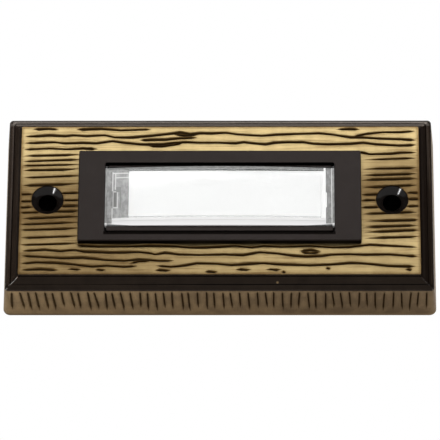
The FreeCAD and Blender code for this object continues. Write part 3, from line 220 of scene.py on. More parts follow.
# camera, as the plate was photographed: from the front, 29 degrees below its own level

camera = {
    "distance": 0.916, "side": 1.19, "height": 60.98, "roll": -1.057,
    "focal": 374.8, "shiftUp": 0.01538, "shiftSide": -0.00054,
}


def makeCamera():
    side, tall = math.radians(camera["side"]), math.radians(camera["height"])
    back = Vector((math.sin(side) * math.cos(tall), -math.sin(tall), -math.cos(side) * math.cos(tall)))
    right = Vector((math.cos(side), 0, math.sin(side)))
    up = back.cross(right)
    turn = math.radians(camera["roll"])
    tiltedRight = right * math.cos(turn) + up * math.sin(turn)
    tiltedUp = up * math.cos(turn) - right * math.sin(turn)
    lens = bpy.data.cameras.new("photoLens")
    lens.lens = camera["focal"]
    lens.sensor_width = 36
    lens.shift_x = camera["shiftSide"]
    lens.shift_y = camera["shiftUp"]
    lens.clip_start = 0.01
    eye = bpy.data.objects.new("photoCamera", lens)
    turnMatrix = Matrix((tiltedRight, tiltedUp, back)).transposed().to_4x4()
    eye.matrix_world = Matrix.Translation(back * camera["distance"]) @ turnMatrix
    bpy.context.collection.objects.link(eye)
    bpy.context.scene.camera = eye


makeCamera()
print("stage: camera")


# lamps, world and floor

light = {
    "world": 0.36,
    "lamps": {
        "key": {"place": (0.03, -0.24, 0.165), "size": (0.34, 0.05), "power": 0.185},
        "top": {"place": (0.0, -0.62, 0.60), "size": (0.9, 0.35), "power": 0.6},
        "low": {"place": (-0.405, -0.25, -0.367), "size": (0.07, 0.07), "power": 0.45},
        "edge": {"place": (0.55, -0.33, 0.36), "size": (0.07, 0.4), "power": 0.8},
        "rim": {"place": (-0.55, -0.33, 0.36), "size": (0.07, 0.4), "power": 0.3},
        "back": {"place": (0.30, 0.62, 0.42), "size": (0.5, 0.5), "power": 2.6},
    },
}
floor = {"half": 0.8, "under": 0.0002, "openWide": 0.0275, "openTall": 0.0105, "paper": (0.93, 0.93, 0.93)}


def softLamp(name, place, size, power):
    lamp = bpy.data.lights.new(name, "AREA")
    lamp.shape = "RECTANGLE"
    lamp.size, lamp.size_y = size
    lamp.energy = power
    stand = bpy.data.objects.new(name, lamp)
    stand.location = place
    stand.rotation_euler = Vector(place).to_track_quat("Z", "Y").to_euler()
    bpy.context.collection.objects.link(stand)


def makeLight():
    for name, lamp in light["lamps"].items():
        softLamp(name + "Lamp", **lamp)
    world = bpy.data.worlds.new("studio")
    bpy.context.scene.world = world
    world.use_nodes = True
    tree = world.node_tree
    tree.nodes.clear()
    room = tree.nodes.new("ShaderNodeBackground")
    room.inputs["Color"].default_value = (1, 1, 1, 1)
    room.inputs["Strength"].default_value = light["world"]
    white = tree.nodes.new("ShaderNodeBackground")
    white.inputs["Color"].default_value = (1, 1, 1, 1)
    path = tree.nodes.new("ShaderNodeLightPath")
    choose = tree.nodes.new("ShaderNodeMixShader")
    tree.links.new(path.outputs["Is Camera Ray"], choose.inputs["Fac"])
    tree.links.new(room.outputs[0], choose.inputs[1])
    tree.links.new(white.outputs[0], choose.inputs[2])
    output = tree.nodes.new("ShaderNodeOutputWorld")
    tree.links.new(choose.outputs[0], output.inputs["Surface"])


def makeFloor():
    # the plate lies with its back on this sheet; seen from behind, the sheet lets the eye through
    finish = Finish("paleFloor")
    paper = finish.node("ShaderNodeBsdfDiffuse", {}, {"Color": floor["paper"]})
    bright = finish.node("ShaderNodeEmission", {}, {"Color": (1, 1, 1), "Strength": 1.0})
    clear = finish.node("ShaderNodeBsdfTransparent")
    seen = finish.node("ShaderNodeLightPath", output="Is Camera Ray")
    lit = finish.node("ShaderNodeMixShader", {}, {0: seen, 1: paper, 2: bright})
    mirrored = finish.node("ShaderNodeLightPath", output="Is Glossy Ray")
    through = finish.node("ShaderNodeLightPath", output="Is Transmission Ray")
    behind = finish.node("ShaderNodeNewGeometry", output="Backfacing")
    shows = (seen + mirrored + through).least(1.0) * (1 - behind)
    finish.done(finish.node("ShaderNodeMixShader", {}, {0: shows, 1: clear, 2: lit}))
    # the sheet has an opening behind the board, so that its screws mirror the room and not the sheet
    mesh = bpy.data.meshes.new("floor")
    rims = ((floor["half"], floor["half"]), (floor["openWide"], floor["openTall"]))
    points = [
        (across * wide, floor["under"], up * tall)
        for wide, tall in rims
        for across, up in ((-1, -1), (1, -1), (1, 1), (-1, 1))
    ]
    mesh.from_pydata(points, [], [(0, 1, 5, 4), (1, 2, 6, 5), (2, 3, 7, 6), (3, 0, 4, 7)])
    mesh.materials.append(finish.material)
    sheet = bpy.data.objects.new("floor", mesh)
    bpy.context.collection.objects.link(sheet)


makeLight()
makeFloor()
bpy.context.scene.view_settings.view_transform = "Standard"
print("stage: light and floor")


# the cast plate: brushed brass face and walls, dark patina in the carving, glossy bronze moulding

plateLow, plateHigh = corners("face_plate")
plate = {
    "halfWide": plateHigh[0], "halfTall": plateHigh[2], "faceHeight": -plateLow[1],
    "wallHeight": 8.9, "draft": 0.7, "wallCorner": 1.4, "bandWide": 2.76,  # side walls and moulding
    "shell": 1.2, "hollowTop": 9.25,  # inside of the casting
    "screwMid": 34.1, "sinkRadius": 3.15, "holeRadius": 1.85,
    # the face's dimming colour is painted shade, standing for a dark reflection
    "brassLight": (0.77, 0.605, 0.30), "brassDeep": (0.27, 0.175, 0.072), "paintedDimTone": (0.36, 0.31, 0.27),
    "wallBrass": (0.59, 0.41, 0.215), "wallDeep": (0.25, 0.17, 0.093),
    "patina": (0.18, 0.10, 0.028), "wallPatina": (0.11, 0.065, 0.022), "cutDeep": (0.055, 0.033, 0.013),
    "bronze": (0.044, 0.030, 0.021), "bronzeDeep": (0.030, 0.020, 0.014), "worn": (0.075, 0.054, 0.038),
    # the lighter far-moulding colour is a painted reflection, the pale mitre colour a painted glint, and the
    # sooty black a painted shade on the side mouldings
    "farReflection": (0.14, 0.12, 0.104), "bare": (0.9, 0.87, 0.82), "sideShadeDark": (0.012, 0.008, 0.006),
    # the near-black hole colour is painted shade
    "inside": (0.20, 0.15, 0.09), "sink": (0.016, 0.013, 0.012), "hole": (0.0006, 0.0005, 0.0005),
}
wearAndPaintedLight = {
    "cutReach": 0.8 * mm, "cutStrength": 3.5,  # darker brown beside every cut
    "middle": (-1.0, 3.0, 13.5), "core": (-0.5, 2.5, 7.0),  # painted shade rows: their height, and where they fade
    # the rows below are painted shade, the far edge marks a painted reflection, the crease line is painted
    # shade, the mitre values place a painted glint and the side inner edge a painted shade; only the chip is
    # wear
    "lowLeft": (2.0, 14.0, 8.0, 38.0), "lowest": (-10.0, 3.0), "rightUp": (24.0, 32.0, 0.0, 11.0),
    "farEdge": 17.6, "chip": (11.4, -17.83, 0.2, 0.38), "creaseShade": (18.12, 18.36, -28.0),
    "mitreHalf": (0.05, 0.17), "mitreBelow": 17.0, "mitreGap": (18.35, 18.9), "sideInner": 40.9,
}


class PlateZones:
    # where a point lies on the plate: each zone is 1 on it and 0 off it
    def __init__(self, finish, spot, fine):
        x, y, z = finish.axes(spot)
        height = -y
        # depth under the rounded, leaning outline at this height
        lean = (height / plate["wallHeight"]).least(1.0) * plate["draft"]
        pastX = abs(x) - (plate["halfWide"] - plate["wallCorner"])
        pastZ = abs(z) - (plate["halfTall"] - plate["wallCorner"])
        cornerX, cornerZ = pastX.most(0.0), pastZ.most(0.0)
        corner = (cornerX * cornerX + cornerZ * cornerZ) ** 0.5
        depth = plate["wallCorner"] - lean - corner - pastX.most(pastZ).least(0.0)

        frayed = 0.10 * (fine - 0.5)
        self.x, self.z, self.height, self.depth = x, z, height, depth
        self.face = (height + frayed).fade(plate["faceHeight"] - 0.10, plate["faceHeight"] - 0.02)
        underLip = 1 - height.fade(plate["wallHeight"] - 0.25, plate["wallHeight"] - 0.05)
        self.wall = (1 - (depth + frayed).fade(0.03, 0.13)) * underLip
        outer = 1 - depth.fade(plate["bandWide"] - 0.04, plate["bandWide"] + 0.04)
        self.band = height.over(plate["wallHeight"] - 0.1) * (1 - self.face) * outer
        # above 0 on the near and far moulding, below 0 on the side mouldings
        self.mitre = (plate["halfWide"] - abs(x)) - (plate["halfTall"] - abs(z))

        beside = abs(x) - plate["screwMid"]
        toScrew = (beside * beside + z * z) ** 0.5
        inside = depth.fade(plate["shell"] - 0.2, plate["shell"] + 0.2)
        inside = inside * (1 - height.over(plate["hollowTop"]))
        self.hollow = inside * toScrew.over(plate["holeRadius"] + 0.03)
        cone = 1 - toScrew.fade(plate["sinkRadius"] - 0.02, plate["sinkRadius"] + 0.03)
        self.sink = cone * (1 - self.hollow)
        # painted shade: the inside of the screw hole is painted near-black
        self.hole = self.sink * (1 - toScrew.fade(plate["holeRadius"], plate["holeRadius"] + 0.06))


def faceBrass(finish, spot, zone, tarnish, streak, cuts):
    # painted shade, standing for a dark reflection, dims the middle rows round the screw holes, the lower
    # left, the lowest rows and the upper right, so that the upper and lower right edges stay brightest; the
    # brass is darker brown beside every cut, and thin dark grain runs between the cuts
    x, z = zone.x, zone.z
    rowAt, rowFrom, rowTo = wearAndPaintedLight["middle"]
    middle = 1 - abs(z - rowAt).fade(rowFrom, rowTo)
    rowAt, rowFrom, rowTo = wearAndPaintedLight["core"]
    core = (1 - abs(z - rowAt).fade(rowFrom, rowTo)) * (0.3 - x.fade(-10.0, 10.0) * 0.15)
    under, fall, left, reach = wearAndPaintedLight["lowLeft"]
    lowLeft = (under - z).fade(0.0, fall) * (left - x).fade(0.0, reach)
    under, fall = wearAndPaintedLight["lowest"]
    lowest = (under - z).fade(0.0, fall)
    start, full, bottom, top = wearAndPaintedLight["rightUp"]
    rightUp = x.fade(start, full) * z.between(bottom, top, 2.0)
    # painted shade: these zones dim the face as a dark reflection would
    paintedDimming = (middle * 0.62 + core + lowLeft * 0.42 + lowest * 0.42 + rightUp * 0.4).least(1.0)
    grain = finish.noise(finish.stretched(spot, 0.055, 1.0, 1.5), 1.1, 4.0, 0.62, 0.25)
    hair = finish.noise(finish.stretched(spot, 0.05, 1.0, 4.0), 1.5, 3.0, 0.6, 0.3)
    grainLine = grain.fade(0.54, 0.66).most(hair.fade(0.56, 0.66) * 0.8)
    aged = (tarnish * 0.22 + (1 - streak) * 0.3 + cuts * 0.7 + grainLine * 0.42).least(1.0)
    tone = finish.mix(aged, plate["brassLight"], plate["brassDeep"])
    return finish.mix(paintedDimming, tone, plate["paintedDimTone"], "MULTIPLY")


def wallBrass(finish, zone, tarnish, streak, cuts):
    # painted shade darkens the leaning walls from left to right, and a painted highlight lightens them
    # towards the wall that the plate lies on
    x = zone.x
    # the left-to-right term is painted shade; the next line lightens the base as a painted highlight
    aged = (tarnish * 0.4 + (1 - streak) * 0.5 + cuts * 0.5 + x.fade(-50.0, 60.0) * 0.6).least(1.0)
    aged = aged * (zone.height.fade(0.1, 1.0) * 0.7 + 0.3)
    tone = finish.mix(aged, plate["wallBrass"], plate["wallDeep"])
    return finish.mix(cuts * (0.6 - x.fade(-40.0, 20.0) * 0.25), tone, plate["wallPatina"])


def carvedDark(finish, zone, fine):
    # the sides and floors of the cuts
    below = (plate["faceHeight"] - zone.height).fade(0.08, 0.24) * zone.depth.over(0.8)
    tone = finish.mix(zone.depth.fade(0.6, 0.8), plate["wallPatina"], plate["patina"])
    tone = finish.mix(fine.fade(0.35, 0.75) * 0.4, tone, plate["bronze"])
    return finish.mix(below, tone, plate["cutDeep"])


def paintedMitreGlint(zone, fine):
    # painted glint along the two lower mitres, brightest on the left one
    line = (1 - abs(zone.mitre).fade(*wearAndPaintedLight["mitreHalf"])) * (-zone.z).over(wearAndPaintedLight["mitreBelow"])
    line = line * (0.75 - zone.x.fade(-10.0, 10.0) * 0.6)
    return line * (1 - (-zone.z).between(*wearAndPaintedLight["mitreGap"], 0.2)) * fine.fade(0.3, 0.6)


def mouldingBronze(finish, spot, zone, coarse, fine, mitreGlint):
    x, z = zone.x, zone.z
    tone = finish.mix(coarse.fade(0.3, 0.8), plate["bronze"], plate["bronzeDeep"])
    polish = finish.noise(finish.stretched(spot, 0.04, 1.0, 3.0), 1.3, 4.0, 0.65)
    tone = finish.mix(polish.fade(0.52, 0.72) * 0.5, tone, plate["worn"])
    # painted reflection: the far moulding is painted lighter
    tone = finish.mix((z - wearAndPaintedLight["farEdge"]).fade(0.0, 0.4), tone, plate["farReflection"])
    chipX, chipZ, chipFrom, chipTo = wearAndPaintedLight["chip"]  # a chip in the near moulding shows brass
    chip = ((x - chipX) ** 2 + (z - chipZ) ** 2) ** 0.5 + fine * 0.12
    tone = finish.mix(0.6 - chip.fade(chipFrom, chipTo) * 0.6, tone, plate["wallBrass"])
    creaseShadeLow, creaseShadeHigh, creaseShadeLeft = wearAndPaintedLight["creaseShade"]  # painted shade line in the crease between bead and cove
    creaseShade = (-z).between(creaseShadeLow, creaseShadeHigh, 0.06) * x.fade(creaseShadeLeft, 0.0)
    tone = finish.mix(creaseShade * 0.85, tone, plate["hole"])
    # the pale colour is a painted glint
    return finish.mix(mitreGlint, tone, plate["bare"])


def paintedSideShade(finish, spot, zone, mitreGlint):
    # how much painted shade, a dark diffuse layer that gives no gloss, lies on the side mouldings
    stripes = finish.noise(finish.stretched(spot, 3.0, 1.0, 0.03), 1.0, 3.0, 0.6)
    side = (-zone.mitre).fade(-0.03, 0.08) * zone.band
    inner = 1 - (abs(zone.x) - wearAndPaintedLight["sideInner"]).fade(0.0, 0.2)
    share = zone.x.fade(-10.0, 10.0) * 0.36 + 0.36 + stripes.fade(0.4, 0.6) * 0.2 + inner * 0.25
    return side * share.least(0.97) * (1 - mitreGlint)


def plateFinish():
    finish = Finish("antiqueBrass")
    spot = finish.place()
    coarse = finish.noise(spot, 0.35, 4.0)
    fine = finish.noise(spot, 2.4, 5.0, 0.6)
    zone = PlateZones(finish, spot, fine)
    brushed = finish.noise(finish.stretched(spot, 0.12, 1.0, 2.6), 3.0, 4.0, 0.6)
    wallBrushed = finish.noise(finish.stretched(spot, 2.2, 0.2, 2.2), 2.0, 4.0, 0.6)
    streak = finish.blendNumber(zone.wall, brushed, wallBrushed)
    tarnish = coarse.fade(0.3, 0.75)
    cuts = finish.nearCuts(wearAndPaintedLight["cutReach"], wearAndPaintedLight["cutStrength"])
    gold = zone.face.most(zone.wall)
    mitreGlint = paintedMitreGlint(zone, fine)

    brass = finish.mix(
        zone.wall,
        faceBrass(finish, spot, zone, tarnish, streak, cuts),
        wallBrass(finish, zone, tarnish, streak, cuts),
    )
    bronze = mouldingBronze(finish, spot, zone, coarse, fine, mitreGlint)
    colour = finish.mix(zone.band, carvedDark(finish, zone, fine), bronze)
    colour = finish.mix(gold, colour, brass)
    colour = finish.mix(zone.hollow, colour, plate["inside"])
    colour = finish.mix(zone.sink, colour, plate["sink"])
    colour = finish.mix(zone.hole, colour, plate["hole"])

    rough = finish.blendNumber(zone.band, 0.5 + fine * 0.1, 0.18 + fine * 0.08)
    rough = finish.blendNumber(gold, rough, 0.34 + streak * 0.14 + fine * 0.08)
    rough = finish.blendNumber(zone.sink, rough, 0.12)
    rough = finish.blendNumber(zone.hollow.most(zone.hole), rough, 0.55)
    normal = finish.bump(streak * 0.5 + fine * 0.25 + coarse * 0.2, 0.06 * mm, 0.55)
    lacquer = (zone.band * 0.2).most(zone.sink) * (1 - zone.hole)
    cast = finish.surface(
        colour=colour, metal=1 - zone.hollow, rough=rough, normal=normal, coat=lacquer, coatRough=0.06
    )
    # painted shade: a dark diffuse layer without gloss
    sideShadeDark = finish.node("ShaderNodeBsdfDiffuse", {}, {"Color": plate["sideShadeDark"], "Normal": normal})
    sideShadeShare = paintedSideShade(finish, spot, zone, mitreGlint)
    return finish.done(finish.node("ShaderNodeMixShader", {}, {0: sideShadeShare, 1: cast, 2: sideShadeDark}))


dress("face_plate", plateFinish())
print("stage: plate")


# smooth lacquered linings that lie in the two countersinks and in the mouths of the screw holes

lining = {
    "steps": 72, "lip": 10.935, "mouth": 9.65,  # heights where the lip ends and the hole begins
    "profile": (  # radius and height
        (3.22, 11.003), (3.15, 11.003), (3.10, 10.985), (3.05, 10.93), (2.4, 10.28), (1.86, 9.74),
        (1.79, 9.62), (1.78, 9.3), (1.78, 7.2),
    ),
    "lacquer": (0.007, 0.005, 0.004), "mottled": (0.016, 0.012, 0.010), "edge": (0.012, 0.008, 0.006),
}


def liningFinish():
    finish = Finish("sinkLacquer")
    spot = finish.place()
    x, y, z = finish.axes(spot)
    inHole = 1 - (-y).fade(lining["mouth"] - 0.1, lining["mouth"] + 0.1)
    unlit = inHole.most((-y).fade(lining["lip"] - 0.035, lining["lip"] + 0.035))
    mottle = finish.noise(spot, 2.5, 4.0)
    colour = finish.mix(mottle, lining["lacquer"], lining["mottled"])
    # painted shade: the lip's rounded edge is painted dark and dull, and the hole's mouth near-black
    colour = finish.mix(unlit, colour, lining["edge"])
    colour = finish.mix(inHole, colour, plate["hole"])
    rough = finish.blendNumber(unlit, 0.1 + mottle * 0.05, 0.6)
    return finish.done(finish.surface(
        colour=colour, metal=unlit, rough=rough, normal=finish.bump(mottle, 0.02 * mm)
    ))


def liningMesh(middle):
    # the profile turned about a screw hole's axis
    mesh = bmesh.new()
    steps = lining["steps"]
    turns = [2 * math.pi * step / steps for step in range(steps)]
    rings = []
    for radius, height in lining["profile"]:
        spots = [(middle + radius * math.cos(turn), -height, radius * math.sin(turn)) for turn in turns]
        rings.append([mesh.verts.new([value * mm for value in spot]) for spot in spots])
    for outer, inner in zip(rings, rings[1:]):
        for step in range(steps):
            after = (step + 1) % steps
            mesh.faces.new((outer[step], inner[step], inner[after], outer[after])).smooth = True
    mesh.normal_update()
    return mesh


def makeLinings():
    finish = liningFinish()
    for side, sign in (("left", -1), ("right", 1)):
        piece = newPiece("sinkLining_" + side, liningMesh(sign * plate["screwMid"]), finish)
        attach(piece, "base")


makeLinings()
print("stage: countersinks")


# dark mouldings: the raised frame and the button's own frame

darkFrame = {
    "colour": (0.020, 0.0115, 0.0085), "worn": (0.028, 0.018, 0.0145), "shade": (0.002, 0.0015, 0.001),
    "rough": 0.42, "shine": 0.25,
    "halfWide": 22.9, "openingLow": -8.135, "carrierLow": -7.7,  # where the shaded lower edges lie
}


def darkMoulding(name, lowEdge):
    finish = Finish(name)
    spot = finish.place()
    x, y, z = finish.axes(spot)
    grain = finish.noise(spot, 6.0, 5.0, 0.6)
    cloud = finish.noise(spot, 0.25, 3.0)
    colour = finish.mix(cloud.fade(0.35, 0.75) * 0.5, darkFrame["colour"], darkFrame["worn"])
    # painted shade: the walls of the opening and of the raised edge are painted nearly black, as is the
    # rounded lower edge
    walls = 1 - (-finish.facing(1)).fade(0.3, 0.9)
    low = z.between(lowEdge - 0.42, lowEdge + 0.3, 0.08) * (darkFrame["halfWide"] - abs(x)).fade(0.0, 0.1)
    shaded = walls.most(low) * 0.9
    colour = finish.mix(shaded, colour, darkFrame["shade"])
    return finish.done(finish.surface(
        colour=colour, metal=shaded, rough=darkFrame["rough"] + grain * 0.1,
        normal=finish.bump(grain, 0.03 * mm, 0.5), shine=darkFrame["shine"],
    ))


dress("switch_housing", darkMoulding("blackFrame", darkFrame["openingLow"]))
dress("button_carrier", darkMoulding("blackCarrier", darkFrame["carrierLow"]))
print("stage: frames")


# the clear cap, the card under it and the milky plate behind the card

lensLow, lensHigh = corners("button_lens")
cardHigh = corners("name_card")[1]
cap = {
    "end": lensHigh[0], "low": lensLow[2], "high": lensHigh[2], "cardEnd": cardHigh[0],
    "bevel": 1.25, "bevelMid": -0.15, "bevelHalf": 21.02, "ridge": 0.33,
    # the emission strength is painted light; lit is painted light on the near bevel, edge a painted highlight
    # and shade painted shade
    "outside": 12.1, "leftZone": -18.02, "endWall": 21.18, "glow": 0.5, "haze": 0.72,
    "pale": (0.222, 0.222, 0.218), "wall": (0.205, 0.205, 0.20), "deep": (0.17, 0.17, 0.165),
    "line": (0.62, 0.62, 0.61), "lit": (0.86, 0.855, 0.85), "edge": (0.97, 0.965, 0.96),
    "rim": (0.88, 0.88, 0.875), "shade": (0.01, 0.01, 0.01),
    "glass": (0.985, 0.99, 0.99), "shadow": (0.97, 0.97, 0.97),
}
capMarks = {  # what is seen through the cap: from and to across, then from and to up
    "tab": [((-21.1, -20.05), (-3.0, 0.9))],
    "hollows": [
        ((-20.95, -20.3), (-2.7, 0.6)), ((-20.45, -19.5), (0.65, 1.8)), ((-19.72, -19.5), (-2.9, 0.7)),
    ],
    "ribs": [
        ((-21.25, -21.05), (0.9, 5.2)), ((-21.3, -21.1), (lensLow[2], -3.0)), ((-20.72, -20.5), (1.2, 4.9)),
        ((-21.2, -18.0), (4.8, 5.05)), ((-20.7, -18.0), (3.8, 4.05)), ((-19.4, -18.0), (-5.4, -5.15)),
    ],
    "rims": [
        ((cardHigh[0] - 0.08, cardHigh[0] + 0.35), (-9.0, 9.0)),
        ((cardHigh[0] - 0.08, cardHigh[0] + 0.55), (-2.8, 0.6)),
    ],
    "lowSeam": [((-18.0, 20.0), (-5.1, -4.86))],
    "endSeam": [((19.92, 20.1), (-5.0, 4.8))],
}


def marked(x, z, name):
    # 1 inside any of the named marks
    shown = [x.between(*across) * z.between(*up) for across, up in capMarks[name]]
    most = shown[0]
    for mark in shown[1:]:
        most = most.most(mark)
    return most


def clearCap():
    # clear plastic; painted light, a glow standing for the lamp's light, hangs in its bevels, end walls, ribs
    # and snap tabs, with a painted highlight along the near edge and painted shade along the far edge
    finish = Finish("clearCap")
    spot = finish.place()
    x, y, z = finish.axes(spot)
    ripple = finish.noise(spot, 0.5, 2.0)
    haze = finish.noise(spot, 3.0, 4.0)
    cloud = finish.noise(finish.stretched(spot, 1.0, 1.0, 0.5), 1.6, 4.0, 0.6)

    up, down = z - cap["low"], cap["high"] - z
    nearBevel = 1 - up.fade(cap["bevel"] - 0.15, cap["bevel"] + 0.05)
    farBevel = 1 - down.fade(cap["bevel"] - 0.3, cap["bevel"] - 0.12)
    bow = abs(x / cap["end"]) ** 2
    farShade = (0.2 + bow * 0.35 - down).fade(0.0, 0.14)
    ridge = 1 - up.fade(cap["ridge"] - 0.09, cap["ridge"] + 0.09)
    bevelEnd = abs(x - cap["bevelMid"]).fade(cap["bevelHalf"] - 0.07, cap["bevelHalf"] + 0.08)
    leftEnd = 1 - x.fade(cap["leftZone"] - 0.08, cap["leftZone"] + 0.07)
    rightEnd = x.fade(cap["cardEnd"] + 0.3, cap["cardEnd"] + 0.4)
    endWall = abs(x).fade(cap["endWall"] - 0.08, cap["endWall"] + 0.07) * leftEnd
    tab = marked(x, z, "tab")
    hollows = marked(x, z, "hollows")
    outerEdge = (1 - abs(abs(x) - (cap["end"] - 0.1)).fade(0.05, 0.12)) * (1 - leftEnd)
    ribs = marked(x, z, "ribs").most(outerEdge)
    rims = marked(x, z, "rims")
    seams = (marked(x, z, "lowSeam") * 0.5).most(marked(x, z, "endSeam") * 0.22)
    crease = up.between(0.69, 0.85)

    tone = finish.mix(endWall, cap["pale"], cap["wall"])
    tone = finish.mix(cloud.fade(0.35, 0.7) * 0.35, tone, cap["line"])
    tone = finish.mix(tab * 0.8, tone, cap["line"])
    tone = finish.mix(hollows, tone, cap["deep"])
    tone = finish.mix(ribs * 0.9, tone, cap["line"])
    tone = finish.mix(rims, tone, cap["rim"])
    # painted light on the near bevel
    lit = finish.mix(crease * 0.35, cap["lit"], cap["pale"])
    tone = finish.mix(nearBevel * (1 - bevelEnd), tone, lit)
    # painted highlight along the near edge
    tone = finish.mix(ridge, tone, cap["edge"])
    tone = finish.mix(farShade, tone, cap["shade"])
    tone = finish.mix(seams.over(0.05) * (1 - nearBevel), tone, cap["pale"])
    ends = leftEnd.most(rightEnd) * (cap["haze"] + 0.15 * ribs)
    veil = ends.most(farBevel * 0.75).most(farShade).most(nearBevel * 0.93).most(rims * 0.9).most(seams)
    veil = veil * (-y).fade(cap["outside"], cap["outside"] + 0.05)

    normal = finish.bump(ripple, 0.02 * mm, 0.3)
    glass = finish.surface(
        colour=cap["glass"], rough=0.015 + haze * 0.03, through=1.0, ior=1.49, normal=normal
    )
    # painted light: this layer glows
    paintedLightLayer = finish.surface(
        colour=tone, rough=0.2 + haze * 0.1, normal=normal, glow=tone, glowStrength=cap["glow"]
    )
    body = finish.node("ShaderNodeMixShader", {}, {0: veil, 1: glass, 2: paintedLightLayer})
    clear = finish.node("ShaderNodeBsdfTransparent", {}, {"Color": cap["shadow"]})
    lamps = finish.node("ShaderNodeLightPath", output="Is Shadow Ray")
    return finish.done(finish.node("ShaderNodeMixShader", {}, {0: lamps, 1: body, 2: clear}))


capFlange = {
    "from": lensHigh[0] - 0.01, "to": lensHigh[0] + 0.41, "back": 11.2, "front": 12.42, "round": 0.1,
    "low": lensLow[2] + 0.01, "high": lensHigh[2] - 0.03, "litUnder": -6.02, "shadeOver": 6.4,
}


def flangeFinish():
    finish = Finish("capFlange")
    spot = finish.place()
    x, y, z = finish.axes(spot)
    cloud = finish.noise(finish.stretched(spot, 1.0, 1.0, 0.5), 1.6, 4.0, 0.6)
    # painted light and shade: the lip glows, is painted lighter on its lower front, and painted dark near its
    # top
    lit = (1 - z.fade(capFlange["litUnder"] - 0.08, capFlange["litUnder"] + 0.07)) * (-y).fade(11.9, 12.0)
    tone = finish.mix(cloud.fade(0.3, 0.75) * 0.25, cap["deep"], cap["line"])
    tone = finish.mix(lit, tone, cap["line"])
    tone = finish.mix(z.fade(capFlange["shadeOver"] - 0.1, capFlange["shadeOver"] + 0.1), tone, cap["shade"])
    return finish.done(finish.surface(
        colour=tone, rough=0.2 + cloud * 0.1, normal=finish.bump(cloud, 0.03 * mm),
        glow=tone, glowStrength=cap["glow"],
    ))


def makeFlanges():
    # the cap's end lips, which close the gap beside it
    finish = flangeFinish()
    for name, sign in (("left", -1), ("right", 1)):
        mesh = bmesh.new()
        for across in (capFlange["from"], capFlange["to"]):
            for height in (capFlange["back"], capFlange["front"]):
                for up in (capFlange["low"], capFlange["high"]):
                    mesh.verts.new((sign * across * mm, -height * mm, up * mm))
        bmesh.ops.convex_hull(mesh, input=mesh.verts)
        bmesh.ops.dissolve_limit(mesh, angle_limit=0.1, verts=mesh.verts, edges=mesh.edges)
        bmesh.ops.bevel(
            mesh, geom=mesh.edges[:], offset=capFlange["round"] * mm, segments=3, profile=0.5,
            affect="EDGES", clamp_overlap=True,
        )
        bmesh.ops.recalc_face_normals(mesh, faces=mesh.faces)
        for face in mesh.faces:
            face.smooth = True
        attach(newPiece("capFlange_" + name, mesh, finish), "button")


def whiteCard():
    finish = Finish("whiteCard")
    spot = finish.place()
    fibre = finish.noise(spot, 5.0, 5.0, 0.6)
    colour = finish.mix(fibre, (0.90, 0.90, 0.89), (0.94, 0.94, 0.935))
    # painted light: the card glows, standing for the lamp behind it
    return finish.done(finish.surface(
        colour=colour, rough=0.5 + fibre * 0.15, normal=finish.bump(fibre, 0.02 * mm),
        glow=colour, glowStrength=0.37,
    ))


def milkyPlastic():
    finish = Finish("milkyPlastic")
    spot = finish.place()
    cloud = finish.noise(spot, 0.6, 3.0)
    colour = finish.mix(cloud, (0.60, 0.61, 0.61), (0.72, 0.73, 0.73))
    return finish.done(finish.surface(
        colour=colour, rough=0.3 + cloud * 0.15, normal=finish.bump(cloud, 0.02 * mm)
    ))


dress("button_lens", clearCap())
makeFlanges()
dress("name_card", whiteCard())
dress("light_diffuser", milkyPlastic())
print("stage: cap, card and diffuser")


# working parts behind: board, strips, screws, springs, lamp and resistor

def plainMetal(name, colour, deep, rough, turned=1.0):
    finish = Finish(name)
    spot = finish.place()
    grain = finish.noise(finish.stretched(spot, 1.0, turned, 1.0), 5.0, 4.0, 0.6)
    cloud = finish.noise(spot, 0.8, 3.0)
    tint = finish.mix(cloud.fade(0.3, 0.8), colour, deep)
    return finish.done(finish.surface(
        colour=tint, metal=1.0, rough=rough + grain * 0.18, normal=finish.bump(grain, 0.02 * mm, 0.5)
    ))


def boardFinish():
    finish = Finish("pressedBoard")
    spot = finish.place()
    weave = finish.noise(finish.stretched(spot, 1.0, 1.0, 3.0), 2.0, 4.0, 0.6)
    speck = finish.noise(spot, 7.0, 3.0)
    colour = finish.mix(weave.fade(0.3, 0.75), (0.13, 0.065, 0.032), (0.22, 0.12, 0.06))
    colour = finish.mix(speck.fade(0.6, 0.72) * 0.4, colour, (0.05, 0.03, 0.02))
    return finish.done(finish.surface(
        colour=colour, rough=0.42 + weave * 0.2, normal=finish.bump(weave, 0.04 * mm, 0.5)
    ))


def lampFinish():
    finish = Finish("lampAmber")
    spot = finish.place()
    cloud = finish.noise(spot, 1.0, 2.0)
    colour = finish.mix(cloud, (0.80, 0.42, 0.10), (0.92, 0.60, 0.22))
    return finish.done(finish.surface(
        colour=colour, rough=0.12 + cloud * 0.1, normal=finish.bump(cloud, 0.02 * mm), ior=1.5
    ))


resistorLow, resistorHigh = corners("resistor")
resistor = {
    "middle": (resistorLow[0] + resistorHigh[0]) / 2, "bodyHalf": 1.7, "bandHalf": 0.165,
    "glaze": ((0.50, 0.38, 0.24), (0.60, 0.47, 0.31)), "lead": (0.6, 0.6, 0.6),
    "bands": (  # place along the body, and colour
        (-1.0, (0.25, 0.10, 0.03)), (-0.35, (0.02, 0.02, 0.02)),
        (0.3, (0.5, 0.05, 0.03)), (1.1, (0.6, 0.42, 0.12)),
    ),
}


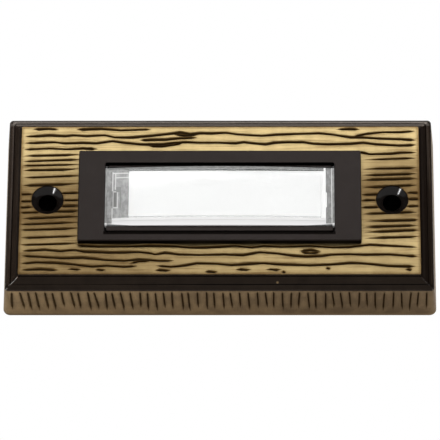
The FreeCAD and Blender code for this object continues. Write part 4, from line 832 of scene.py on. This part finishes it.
def resistorFinish():
    finish = Finish("resistorBody")
    spot = finish.place()
    x, y, z = finish.axes(spot)
    along = x - resistor["middle"]
    glaze = finish.noise(spot, 2.0, 3.0)
    colour = finish.mix(glaze, *resistor["glaze"])
    for middle, tint in resistor["bands"]:
        band = 1 - abs(along - middle).fade(resistor["bandHalf"] - 0.025, resistor["bandHalf"] + 0.025)
        colour = finish.mix(band, colour, tint)
    lead = abs(along).fade(resistor["bodyHalf"] - 0.02, resistor["bodyHalf"] + 0.02)
    colour = finish.mix(lead, colour, resistor["lead"])
    return finish.done(finish.surface(
        colour=colour, metal=lead, rough=0.3 + glaze * 0.15, normal=finish.bump(glaze, 0.03 * mm, 0.5)
    ))


stripBronze = plainMetal("stripBronze", (0.66, 0.42, 0.20), (0.48, 0.28, 0.13), 0.25)
silver = plainMetal("contactSilver", (0.80, 0.79, 0.76), (0.60, 0.59, 0.56), 0.22)
screwBrass = plainMetal("screwBrass", (0.70, 0.54, 0.26), (0.55, 0.40, 0.18), 0.22, 6.0)
zinc = plainMetal("zincSteel", (0.62, 0.63, 0.65), (0.48, 0.48, 0.47), 0.26)
springSteel = plainMetal("springSteel", (0.58, 0.58, 0.58), (0.42, 0.42, 0.42), 0.2)

dress("contact_board", boardFinish())
dress("lamp", lampFinish())
dress("resistor", resistorFinish())
dress("fixed_contact", stripBronze)
dress("fixed_contact_rivet", silver)
dress("strip_rivet", screwBrass)
dress("leaf_rivet", screwBrass)
for side in ("left", "right"):
    dress("terminal_nut_" + side, screwBrass)
    dress("terminal_screw_" + side, screwBrass)
    dress("terminal_washer_" + side, zinc)
    dress("board_screw_" + side, zinc)

# height of the still end, and what is left of the way to it when the button is in by 1.2 mm
springPress = {"seat": 4.45, "keep": 0.777, "slot": "spring_steel", "finish": springSteel, "round": True}
leafPress = {"seat": 4.4, "keep": 0.6, "slot": "spring_bronze", "finish": stripBronze, "round": False}
softParts = {
    "return_spring_left": ("coil_left", springPress),
    "return_spring_right": ("coil_right", springPress),
    "leaf_contact": ("leafStrip", leafPress),
    "leaf_contact_rivet": ("leafSilver", {**leafPress, "slot": "contact_silver", "finish": silver}),
}


def makeSoftParts():
    # the coils and the leaf are copied into pieces of their own, with their own finish and shading, which
    # ride on the base
    for node, (name, part) in softParts.items():
        mesh = bmesh.new()
        mesh.from_mesh(nodes[node].data)
        for face in mesh.faces:
            face.smooth = part["round"]
        piece = newPiece(name, mesh, part["finish"])
        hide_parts(node)
        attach(piece, "base")
        seat = (0, -part["seat"] * mm, 0)
        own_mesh(piece)


makeSoftParts()
print("stage: working parts")
